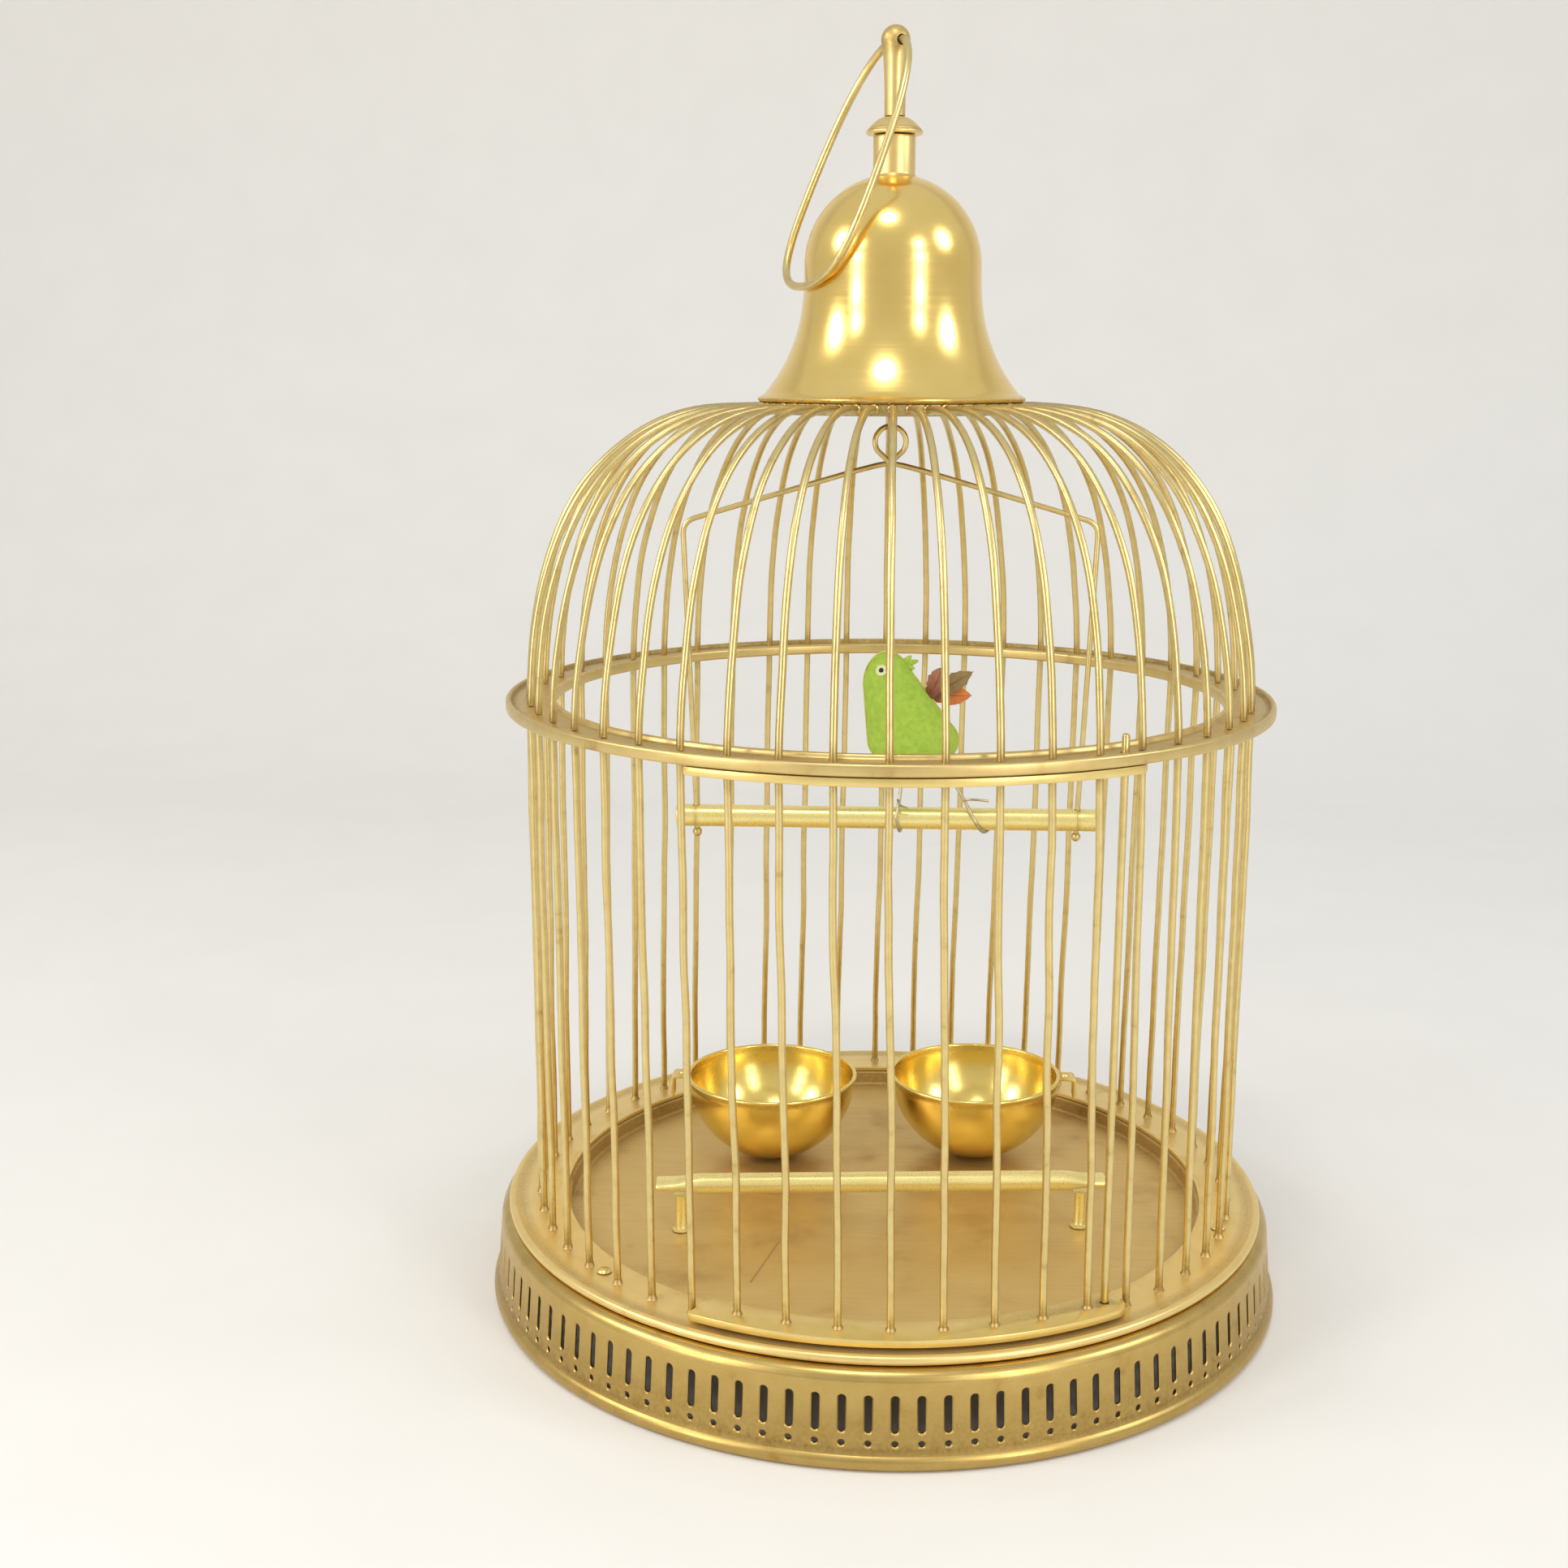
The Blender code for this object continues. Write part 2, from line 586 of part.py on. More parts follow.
def make_ring_screws():
    """Domed screws that hold the bottom ring and the tray down on the skirt's ledge."""
    head_z = PAN_TOP_Z + SEAT_GAP
    for number, place in enumerate(SCREW_PLACES, 1):
        profile = [
            (0.0, SKIRT_TOP_Z - 3.0 * SHEET),
            (SCREW_SHANK_R, SKIRT_TOP_Z - 3.0 * SHEET),
            (SCREW_SHANK_R, head_z),
        ]
        profile += [(wide * SCREW_HEAD_R, head_z + high * SCREW_HEAD_H) for wide, high in SCREW_DOME]
        bm = bmesh.new()
        add_revolve(bm, profile, 8)
        bmesh.ops.translate(bm, verts=bm.verts, vec=place)
        finish(f"ring_screw_{number}", bm, POLISHED, (place.x, place.y, head_z))


def ring_profile():
    """The mid ring's section: a web with a rounded raised lip at each edge."""
    profile = [(RING_INNER_R + LIP_ROUND, RING_LOW_Z), (RING_OUTER_R - LIP_ROUND, RING_LOW_Z)]
    web_z = RING_LOW_Z + RING_WEB
    outer = [
        (RING_OUTER_R, RING_LOW_Z + LIP_ROUND),
        (RING_OUTER_R, RING_TOP_Z - LIP_ROUND),
        (RING_OUTER_R - LIP_ROUND, RING_TOP_Z),
        (RING_OUTER_R - LIP_WIDTH, RING_TOP_Z),
        (RING_OUTER_R - LIP_WIDTH - LIP_ROUND, web_z),
    ]
    middle = (RING_OUTER_R + RING_INNER_R) / 2.0
    return profile + outer + [(2.0 * middle - r, z) for r, z in reversed(outer)]


def make_mid_ring():
    """The mid ring with the upright wires that stand from the bottom ring into it."""
    ring = revolved("mid_ring", ring_profile(), WIRE_COUNT, TARNISHED, SEGMENT_START_DEG)
    bm = bmesh.new()
    for number in range(DOOR_LAST_WIRE + 1, DOOR_FIRST_WIRE + WIRE_COUNT):
        place = polar(WIRE_CIRCLE_R, wire_azimuth(number))
        post(bm, place, WIRE_R, WIRE_FOOT_Z, RING_LOW_Z + RING_WEB / 2.0, WIRE_SIDES)
    boolean(ring, "UNION", bm)
    bm = bmesh.new()
    post(bm, PIVOT_PLACE, PIVOT_HOLE_R, RING_LOW_Z - SHEET, RING_TOP_Z + SHEET)
    boolean(ring, "DIFFERENCE", bm)


def dome_curve():
    """The (r, z) points of a dome wire, from the mid ring up to the crown ring."""
    start = Vector((WIRE_CIRCLE_R, RING_LOW_Z + RING_WEB + SEAT_GAP))
    low_handle = Vector((WIRE_CIRCLE_R - DOME_LOW_HANDLE_INSET, DOME_LOW_HANDLE_Z))
    high_handle = Vector((WIRE_CIRCLE_R - DOME_HIGH_HANDLE_INSET, DOME_HIGH_HANDLE_Z))
    end = Vector(((CROWN_OUTER_R + CROWN_INNER_R) / 2.0, CROWN_LOW_Z + CROWN_HEIGHT / 2.0))
    return interpolate_bezier(start, low_handle, high_handle, end, DOME_STEPS + 1)


def make_dome_wires():
    """The crown ring with the curved wires that rise to it from the mid ring."""
    profile = [
        (CROWN_INNER_R, CROWN_LOW_Z),
        (CROWN_OUTER_R, CROWN_LOW_Z),
        (CROWN_OUTER_R, CROWN_TOP_Z),
        (CROWN_INNER_R, CROWN_TOP_Z),
    ]
    crown = revolved("dome_wires", profile, WIRE_COUNT, WIRE_BRASS, SEGMENT_START_DEG)
    curve = dome_curve()
    bm = bmesh.new()
    for number in range(WIRE_COUNT):
        azimuth = wire_azimuth(number)
        points = [polar(r, azimuth, z) for r, z in curve]
        add_tube(bm, points, WIRE_R, WIRE_SIDES, polar(1.0, azimuth + 90.0))
    boolean(crown, "UNION", bm)


def rail_outline():
    """A door rail seen from above: a curved strip with a square free end and a round end about the pivot."""
    outer_r = WIRE_CIRCLE_R + RAIL_HALF_WIDTH
    inner_r = WIRE_CIRCLE_R - RAIL_HALF_WIDTH
    turn = (PIVOT_AZIMUTH_DEG - RAIL_FREE_END_DEG) / RAIL_STEPS
    azimuths = [RAIL_FREE_END_DEG + turn * i for i in range(RAIL_STEPS + 1)]
    outline = [polar(outer_r, a).xy for a in azimuths]
    for i in range(1, 6):
        around = PIVOT_AZIMUTH_DEG + 30.0 * i
        outline.append(PIVOT_PLACE.xy + polar(RAIL_HALF_WIDTH, around).xy)
    outline += [polar(inner_r, a).xy for a in reversed(azimuths)]
    return outline


def make_door(hinge):
    """The curved door: two rails, the wires between them and the long pivot wire at its right side."""
    for name, low_z in (("door_bottom_rail", LOW_RAIL_Z), ("door_top_rail", HIGH_RAIL_Z)):
        bm = bmesh.new()
        add_prism(bm, rail_outline(), low_z, low_z + RAIL_THICK)
        rail = finish(name, bm, BRASS, (PIVOT_PLACE.x, PIVOT_PLACE.y, low_z), hinge)
        bm = bmesh.new()
        post(bm, PIVOT_PLACE, WIRE_R + SEAT_GAP, low_z - SHEET, low_z + RAIL_THICK + SHEET)
        boolean(rail, "DIFFERENCE", bm)
    wire_low_z = LOW_RAIL_Z + RAIL_THICK + SEAT_GAP
    wire_high_z = HIGH_RAIL_Z - SEAT_GAP
    for number in range(DOOR_FIRST_WIRE, DOOR_LAST_WIRE + 1):
        place = polar(WIRE_CIRCLE_R, wire_azimuth(number))
        bm = bmesh.new()
        post(bm, place, WIRE_R, wire_low_z, wire_high_z, WIRE_SIDES)
        name = f"door_wire_{number - DOOR_FIRST_WIRE + 1}"
        finish(name, bm, WIRE_BRASS, (place.x, place.y, wire_low_z), hinge)
    bm = bmesh.new()
    low_z = TRAY_TOP_Z + SEAT_GAP
    post(bm, PIVOT_PLACE, WIRE_R, low_z, RING_TOP_Z + PIVOT_STUB)
    finish("door_pivot_wire", bm, WIRE_BRASS, (PIVOT_PLACE.x, PIVOT_PLACE.y, low_z), hinge)


def crown_height(r, sphere_r=BELL_CROWN_R):
    """The height of the bell's crown, or of a sphere inside it, at a radius."""
    return BELL_CROWN_Z + math.sqrt(sphere_r * sphere_r - r * r)


def flare_radius(z):
    """The bell's outer radius at a height below its round crown."""
    share = max(0.0, (BELL_CROWN_Z - z) / (BELL_CROWN_Z - BELL_RIM_Z))
    return BELL_CROWN_R + (BELL_RIM_R - BELL_CROWN_R) * share ** BELL_FLARE_POWER


def bell_side(offset):
    """The bell's curve from the rim up to the stem hole, moved inwards by an offset."""
    points = []
    for i in range(BELL_FLARE_STEPS):
        z = BELL_RIM_Z + (BELL_CROWN_Z - BELL_RIM_Z) * i / BELL_FLARE_STEPS
        points.append((flare_radius(z) - offset, z))
    sphere_r = BELL_CROWN_R - offset
    last = math.degrees(math.acos(STEM_HOLE_R / sphere_r))
    return points + arc((0.0, BELL_CROWN_Z), sphere_r, 0.0, last, BELL_CROWN_STEPS)


def make_bell():
    """The spun bell: a round crown that flares into a wide rim over the crown ring."""
    profile = bell_side(0.0) + list(reversed(bell_side(BELL_SHEET)))
    revolved("bell", profile, BELL_SEGMENTS, POLISHED)


def make_neck_and_collar():
    neck = [
        (STEM_HOLE_R, crown_height(STEM_HOLE_R) + SEAT_GAP),
        (NECK_R, crown_height(NECK_R) + SEAT_GAP),
        (NECK_R, NECK_TOP_Z),
        (STEM_HOLE_R, NECK_TOP_Z),
    ]
    revolved("bell_neck", neck, 20, POLISHED)
    collar = [(wide * COLLAR_R, COLLAR_LOW_Z + high * COLLAR_H) for wide, high in COLLAR_DOME]
    collar = [(STEM_HOLE_R, COLLAR_LOW_Z)] + collar + [(STEM_HOLE_R, COLLAR_LOW_Z + COLLAR_H)]
    revolved("bell_collar", collar, 24, POLISHED)


def bail_frame():
    """The bail's axes: along its hinge, and down its length as its foot rests on the bell's crown."""
    yaw = math.radians(BAIL_YAW_DEG)
    foot_r = BELL_CROWN_R + BAIL_WIRE_D / 2.0 + SEAT_GAP
    lean = math.asin(foot_r / BAIL_LENGTH)
    for _ in range(LEAN_ROUNDS):
        foot_z = CROSS_HOLE_Z - BAIL_LENGTH * math.cos(lean)
        foot_r = flare_radius(foot_z) + BAIL_WIRE_D / 2.0 + SEAT_GAP
        lean = math.asin(foot_r / BAIL_LENGTH)
    along = Vector((math.sin(yaw), -math.cos(yaw), 0.0))
    side = Vector((-math.cos(yaw), -math.sin(yaw), 0.0))
    down = side * math.sin(lean) - Vector((0.0, 0.0, math.cos(lean)))
    return along, down


def make_finial():
    """The tapered top pin with its round head, its cross hole for the bail and its long stem."""
    head_z = FINIAL_TOP_Z - FINIAL_HIGH_R
    profile = [(0.0, STEM_END_Z), (STEM_R, STEM_END_Z), (STEM_R, FINIAL_LOW_Z), (FINIAL_LOW_R, FINIAL_LOW_Z)]
    profile += arc((0.0, head_z), FINIAL_HIGH_R, 0.0, FINIAL_HEAD_DEG, 4)
    profile += [(0.0, FINIAL_TOP_Z)]
    finial = revolved("finial", profile, 16, POLISHED)
    along, _ = bail_frame()
    centre = Vector((0.0, 0.0, CROSS_HOLE_Z))
    reach = along * 3.0 * FINIAL_HIGH_R
    bm = bmesh.new()
    add_tube(bm, (centre - reach, centre + reach), BAIL_WIRE_D / 2.0 + RUNNING_GAP, 12, (0.0, 0.0, 1.0))
    boolean(finial, "DIFFERENCE", bm)


def make_stem_nut():
    """The hexagonal nut that draws the stem up under the bell's crown."""
    corner_r = NUT_ACROSS / math.sqrt(3.0)
    top_z = crown_height(corner_r, BELL_CROWN_R - BELL_SHEET) - SEAT_GAP
    low_z = top_z - NUT_HEIGHT
    bm = bmesh.new()
    add_prism(bm, [polar(corner_r, 60.0 * i).xy for i in range(6)], low_z, top_z)
    nut = finish("stem_nut", bm, BRASS, (0.0, 0.0, low_z))
    bm = bmesh.new()
    post(bm, (0.0, 0.0), STEM_HOLE_R, low_z - SHEET, top_z + SHEET, 12)
    boolean(nut, "DIFFERENCE", bm)


def bail_outline():
    """The bail's closed loop of (across, down) points: a short straight top, wide sides, a full foot."""
    top = Vector((BAIL_TOP_HALF, 0.0))
    widest = Vector((BAIL_HALF_WIDTH, BAIL_WIDEST_AT))
    foot = Vector((0.0, BAIL_LENGTH))
    shoulder = Vector((BAIL_SHOULDER_HALF, BAIL_SHOULDER_DROP))
    depth = BAIL_LENGTH - BAIL_WIDEST_AT
    above = widest - Vector((0.0, 0.5 * BAIL_WIDEST_AT))
    below = widest + Vector((0.0, BAIL_FOOT_FULLNESS * depth))
    beside = foot + Vector((BAIL_FOOT_FULLNESS * BAIL_HALF_WIDTH, 0.0))
    count = BAIL_CURVE_STEPS + 1
    side = interpolate_bezier(top, shoulder, above, widest, count)
    side += interpolate_bezier(widest, below, beside, foot, count)[1:]
    return side + [Vector((-p.x, p.y)) for p in reversed(side[:-1])]


def make_bail(hinge):
    """The wire loop through the finial's head."""
    along, down = bail_frame()
    points = [hinge.location + along * (p.x - BAIL_SKEW * p.y) + down * p.y for p in bail_outline()]
    bm = bmesh.new()
    add_tube(bm, points, BAIL_WIRE_D / 2.0, BAIL_SIDES, along.cross(down), closed=True)
    finish("bail", bm, WIRE_BRASS, hinge.location, hinge)


def make_swing_hanger():
    """The wire hook under the stem that the swing's loop hangs in."""
    wire_r = HANGER_D / 2.0
    bottom_z = SWING_HANG_Z - SWING_WIRE_D / 2.0 - wire_r - SEAT_GAP
    hook = (0.0, bottom_z + HANGER_HOOK_R)
    path = [(0.0, STEM_END_Z - SEAT_GAP), (0.0, hook[1] + 2.4 * HANGER_HOOK_R)]
    path += arc(hook, HANGER_HOOK_R, HANGER_HOOK_FROM_DEG, -180.0, 10)
    path += [(-HANGER_HOOK_R, hook[1] + HANGER_TIP)]
    bm = bmesh.new()
    add_tube(bm, [(0.0, y, z) for y, z in path], wire_r, 8, (1.0, 0.0, 0.0))
    finish("swing_hanger", bm, WIRE_BRASS)


def swing_half(side):
    """One arm of the swing wire, from its ball foot up to the crossing. side is -1 left or 1 right."""
    wire_r = SWING_WIRE_D / 2.0
    ball_z = PERCH_Z - PERCH_R - SEAT_GAP - SWING_END_BALL_R
    radii = [SWING_END_BALL_R * share for share, _ in SWING_END_BALL] + [wire_r] * 6
    foot_x = side * SWING_FOOT_HALF
    corner_x = side * SWING_CORNER_HALF
    cross_y = -side * (wire_r + RUNNING_GAP / 2.0)
    points = [(foot_x, 0.0, ball_z + SWING_END_BALL_R * up) for _, up in SWING_END_BALL]
    points += [
        (foot_x, 0.0, ball_z + 1.3 * SWING_END_BALL_R),
        (corner_x, 0.0, SWING_CORNER_Z - SWING_CORNER_ROUND),
        (corner_x - side * SWING_CORNER_ROUND / 4.0, 0.0, SWING_CORNER_Z - SWING_CORNER_ROUND / 5.0),
        (corner_x - side * SWING_CORNER_ROUND, 0.0, SWING_CORNER_Z + SWING_CORNER_ROUND / 5.0),
        (side * SWING_SHOULDER_HALF, 0.6 * cross_y, SWING_CROSS_Z - 1.4 * SWING_WIRE_D),
        (0.0, cross_y, SWING_CROSS_Z),
    ]
    return points, radii


def make_swing(hinge):
    """The swing: a wire with a loop at the top and a ball at each foot, and the bar that the balls hold."""
    left, left_radii = swing_half(-1)
    right, right_radii = swing_half(1)
    loop_centre = (0.0, SWING_HANG_Z - SWING_LOOP_R)
    loop_end = 180.0 - SWING_LOOP_FROM_DEG
    loop = arc(loop_centre, SWING_LOOP_R, SWING_LOOP_FROM_DEG, loop_end, SWING_LOOP_STEPS)
    tilt = 0.9 * (SWING_WIRE_D + RUNNING_GAP) / 2.0
    loop = [(x, tilt * (1.0 - 2.0 * i / SWING_LOOP_STEPS), z) for i, (x, z) in enumerate(loop)]
    points = left + loop + right[::-1]
    radii = left_radii + [SWING_WIRE_D / 2.0] * len(loop) + right_radii[::-1]
    bm = bmesh.new()
    add_tube(bm, points, radii, 6, (0.0, 1.0, 0.0))
    finish("swing_frame", bm, WIRE_BRASS, hinge.location, hinge)
    bm = bmesh.new()
    straight = PERCH_HALF - PERCH_END_ROUND
    xs = [-PERCH_HALF, -straight, straight, PERCH_HALF]
    radii = [PERCH_R - PERCH_END_ROUND, PERCH_R, PERCH_R, PERCH_R - PERCH_END_ROUND]
    add_tube(bm, [(x, 0.0, PERCH_Z) for x in xs], radii, 12, (0.0, 0.0, 1.0))
    perch = finish("swing_perch", bm, BRASS, (0.0, 0.0, PERCH_Z), hinge)
    bm = bmesh.new()
    for side in (-1, 1):
        arm, _ = swing_half(side)
        low = Vector(arm[4])
        rise = (Vector(arm[5]) - low) * (3.0 * PERCH_R / (SWING_CORNER_Z - PERCH_Z))
        hole_r = SWING_WIRE_D / 2.0 + SEAT_GAP
        add_tube(bm, (low - rise, low + rise), hole_r, 8, (0.0, 1.0, 0.0))
    boolean(perch, "DIFFERENCE", bm)


def make_cup(side, place, lift):
    """A deep round cup with a bent hanging lug on the side towards the cage's wires. side is -1 or 1."""
    x, y = place
    rim_z = FLOOR_Z + SEAT_GAP + CUP_R
    outer = arc((0.0, rim_z), CUP_R, -90.0, 0.0, CUP_STEPS)
    inner = arc((0.0, rim_z), CUP_R - CUP_SHEET, 0.0, -90.0, CUP_STEPS)
    profile = [(0.0, outer[0][1])] + outer[1:] + inner[:-1] + [(0.0, inner[-1][1])]
    bm = bmesh.new()
    add_revolve(bm, profile, CUP_SEGMENTS, 90.0)
    bmesh.ops.translate(bm, verts=bm.verts, vec=(x, y, 0.0))
    name = "cup_left" if side < 0 else "cup_right"
    cup = finish(name, bm, POLISHED, (x, y, rim_z), lift)
    root = CUP_R - 0.7 * CUP_SHEET
    end = CUP_R + LUG_REACH
    strap = [
        (root, rim_z),
        (end, rim_z),
        (end, rim_z - LUG_DROP),
        (end - LUG_THICK, rim_z - LUG_DROP),
        (end - LUG_THICK, rim_z - LUG_THICK),
        (root, rim_z - LUG_THICK),
    ]
    bm = bmesh.new()
    add_plate(bm, [(x + side * u, z) for u, z in strap], y - LUG_WIDTH / 2.0, y + LUG_WIDTH / 2.0)
    boolean(cup, "UNION", bm)


def make_floor_perch():
    """The low bar on the tray: a tube with pinched ends on two short legs."""
    turn = Matrix.Rotation(math.radians(FLOOR_PERCH_YAW_DEG), 3, "Z")
    centre = Vector((0.0, FLOOR_PERCH_Y, 0.0))
    leg_top_z = FLOOR_Z + SEAT_GAP + FLOOR_PERCH_LEG_H
    bar_z = leg_top_z + SEAT_GAP + FLOOR_PERCH_R
    half = FLOOR_PERCH_HALF
    pinch = half - FLOOR_PERCH_END
    neck = pinch - FLOOR_PERCH_NECK
    xs = [-half, -pinch, -neck, neck, pinch, half]
    shares = [FLOOR_PERCH_TIP, FLOOR_PERCH_PINCH, 1.0, 1.0, FLOOR_PERCH_PINCH, FLOOR_PERCH_TIP]
    radii = [FLOOR_PERCH_R * share for share in shares]
    bm = bmesh.new()
    add_tube(bm, [centre + turn @ Vector((x, 0.0, bar_z)) for x in xs], radii, 12, (0.0, 0.0, 1.0))
    finish("floor_perch_bar", bm, BRASS, centre + Vector((0.0, 0.0, bar_z)))
    for side, name in ((-1, "left"), (1, "right")):
        place = centre + turn @ Vector((side * FLOOR_PERCH_LEG_X, 0.0, 0.0))
        bm = bmesh.new()
        post(bm, place, FLOOR_PERCH_LEG_R, FLOOR_Z + SEAT_GAP, leg_top_z)
        finish(f"floor_perch_leg_{name}", bm, BRASS, (place.x, place.y, FLOOR_Z + SEAT_GAP))


def skin_points(centre, radii):
    """Points over an ellipsoid, a round of them at each height and one at each end."""
    points = [Vector((0.0, 0.0, -1.0)), Vector((0.0, 0.0, 1.0))]
    for ring in range(1, BIRD_RINGS):
        up = math.pi * (ring / BIRD_RINGS - 0.5)
        for i in range(BIRD_SEGMENTS):
            points.append(polar(math.cos(up), 360.0 * i / BIRD_SEGMENTS, math.sin(up)))
    return [Vector(centre) + Vector(radii) * p for p in points]


def make_bird_body(swing):
    """The stuffed body and head as one felt skin drawn tight over both."""
    bm = bmesh.new()
    for point in skin_points(BODY_CENTRE, BODY_RADII) + skin_points(HEAD_CENTRE, HEAD_RADII):
        bm.verts.new(point)
    hull = bmesh.ops.convex_hull(bm, input=bm.verts)
    inside = [item for item in hull["geom_interior"] if isinstance(item, bmesh.types.BMVert)]
    bmesh.ops.delete(bm, geom=inside, context="VERTS")
    finish("bird_body", bm, FELT, BODY_CENTRE, swing)


def make_bird_face(swing):
    """The flat round eyes on both sides of the head and the felt crest behind them."""
    x = -EYE_FORWARD
    z = EYE_RISE
    depth = HEAD_RADII[1] * math.sqrt(1.0 - (x / HEAD_RADII[0]) ** 2 - (z / HEAD_RADII[2]) ** 2)
    for side, name in ((-1, "bird_eye_left"), (1, "bird_eye_right")):
        on_skin = HEAD_CENTRE + Vector((x, side * depth, z))
        normal = Vector((x / HEAD_RADII[0] ** 2, side * depth / HEAD_RADII[1] ** 2, z / HEAD_RADII[2] ** 2))
        normal.normalize()
        points = [on_skin + normal * (SEAT_GAP + EYE_THICK * share) for share, _ in EYE_ROUNDS]
        bm = bmesh.new()
        add_tube(bm, points, [EYE_R * share for _, share in EYE_ROUNDS], 12, (0.0, 0.0, 1.0))
        finish(name, bm, EYE_WHITE, points[0], swing)
    low = CREST_RISE - CREST_THICK / 2.0
    z = HEAD_CENTRE.z + CREST_RISE
    x = HEAD_CENTRE.x + HEAD_RADII[0] * math.sqrt(1.0 - (low / HEAD_RADII[2]) ** 2) + SEAT_GAP
    outline = [
        (x, z),
        (x + CREST_NOTCH * CREST_LENGTH, HEAD_CENTRE.z + low),
        (x + CREST_LENGTH, z),
        (x + CREST_LENGTH, z + CREST_THICK),
        (x + CREST_NOTCH * CREST_LENGTH, z + CREST_THICK),
    ]
    bm = bmesh.new()
    add_plate(bm, outline, -CREST_WIDTH / 2.0, CREST_WIDTH / 2.0)
    finish("bird_crest", bm, FELT, (x, 0.0, z), swing)


def make_bird_feathers(swing):
    """A fan of flat feathers at the bird's back."""
    x = BODY_CENTRE.x + FEATHER_ROOT_BACK
    z = BODY_CENTRE.z + FEATHER_ROOT_RISE
    pitch = FEATHER_THICK + SEAT_GAP
    middle = (len(FEATHER_DEGS) - 1) / 2.0
    for number, (angle, length) in enumerate(zip(FEATHER_DEGS, FEATHER_LENGTHS)):
        turn = Matrix.Rotation(math.radians(angle), 2)
        flat = [turn @ Vector((u * length, v * FEATHER_WIDTH)) for u, v in FEATHER_BLADE]
        near_y = (number - middle) * pitch - FEATHER_THICK / 2.0
        bm = bmesh.new()
        add_plate(bm, [(x + p.x, z + p.y) for p in flat], near_y, near_y + FEATHER_THICK)
        finish(f"bird_feather_{number + 1}", bm, FEATHER, (x, 0.0, z), swing)


def body_underside(across):
    """The height of the bird's underside at a distance towards +X from its middle."""
    share = across / BODY_HALF_LENGTH
    return BODY_CENTRE.z - BODY_HALF_HEIGHT * math.sqrt(1.0 - share * share)


def make_bird_leg(name, top, foot, drift, swing):
    """A leg wire from the body to the perch, wrapped round it; top, foot and drift run along the perch."""
    wrap_r = PERCH_R + LEG_WIRE_R + SEAT_GAP
    wrap_end = LEG_WRAP_FROM_DEG + LEG_WRAP_DEG
    wrap = arc((0.0, PERCH_Z), wrap_r, LEG_WRAP_FROM_DEG, wrap_end, LEG_WRAP_STEPS)
    points = [(BODY_X + top, 0.0, body_underside(top) - SEAT_GAP - LEG_WIRE_R)]
    for i, (y, z) in enumerate(wrap):
        points.append((BODY_X + foot + drift * i / LEG_WRAP_STEPS, y, z))
    bm = bmesh.new()
    add_tube(bm, points, LEG_WIRE_R, LEG_SIDES, (1.0, 0.0, 0.0))
    finish(name, bm, LEG_WIRE, points[0], swing)


def make_bird(swing):
    make_bird_body(swing)
    make_bird_face(swing)
    make_bird_feathers(swing)
    make_bird_leg("bird_leg_left", LEFT_LEG_TOP, LEFT_LEG_FOOT, LEFT_LEG_DRIFT, swing)
    make_bird_leg("bird_leg_right", RIGHT_LEG_TOP, RIGHT_LEG_FOOT, RIGHT_LEG_DRIFT, swing)


def clear_scene():
    for obj in list(bpy.data.objects):
        bpy.data.objects.remove(obj)


def main():
    clear_scene()
    make_base_skirt()
    make_floor_tray()
    make_bottom_ring()
    make_ring_screws()
    make_mid_ring()
    make_dome_wires()
    make_door(make_joint_empty("door_hinge", PIVOT_PLACE))
    make_bell()
    make_neck_and_collar()
    make_finial()
    make_stem_nut()
    make_bail(make_joint_empty("bail_hinge", Vector((0.0, 0.0, CROSS_HOLE_Z))))
    make_swing_hanger()
    swing = make_joint_empty("swing_hinge", Vector((0.0, 0.0, SWING_HANG_Z)))
    make_swing(swing)
    make_bird(swing)
    make_cup(-1, CUP_LEFT, make_joint_empty("cup_left_lift", Vector((*CUP_LEFT, FLOOR_Z))))
    make_cup(1, CUP_RIGHT, make_joint_empty("cup_right_lift", Vector((*CUP_RIGHT, FLOOR_Z))))
    make_floor_perch()


main()
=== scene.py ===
"""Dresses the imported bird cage: aged brass wire and sheet, a felt bird on its swing, soft studio light."""

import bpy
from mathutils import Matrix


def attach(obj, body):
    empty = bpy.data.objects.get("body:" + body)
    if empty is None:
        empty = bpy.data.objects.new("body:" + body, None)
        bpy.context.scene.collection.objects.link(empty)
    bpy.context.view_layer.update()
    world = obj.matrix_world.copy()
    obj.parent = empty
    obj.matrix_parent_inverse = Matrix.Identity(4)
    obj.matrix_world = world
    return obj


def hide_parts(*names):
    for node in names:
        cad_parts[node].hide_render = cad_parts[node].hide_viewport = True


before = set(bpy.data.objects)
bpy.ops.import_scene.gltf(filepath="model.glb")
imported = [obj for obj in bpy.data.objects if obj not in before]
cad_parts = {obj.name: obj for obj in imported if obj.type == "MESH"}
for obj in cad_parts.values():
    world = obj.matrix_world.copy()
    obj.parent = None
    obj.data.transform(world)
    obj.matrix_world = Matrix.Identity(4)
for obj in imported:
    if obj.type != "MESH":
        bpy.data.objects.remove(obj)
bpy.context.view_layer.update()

import logging
from collections.abc import Callable
from dataclasses import dataclass
from enum import Enum
from functools import partial
from math import acos, asin, cos, degrees, pi, radians, sin, sqrt

import bmesh
import bpy
from bmesh.types import BMesh, BMVert
from bpy.types import Material, Mesh, Node, NodeSocket, NodeTree, Object
from mathutils import Matrix, Vector, noise
from mathutils.geometry import interpolate_bezier

LOG = logging.getLogger("bird_cage")

# Sizes and places are in metres. A name that ends in deg or rad holds an angle.
MM = 0.001
UP = Vector((0.0, 0.0, 1.0))
FINE = 144
SMOOTH_ANGLE = radians(35.0)

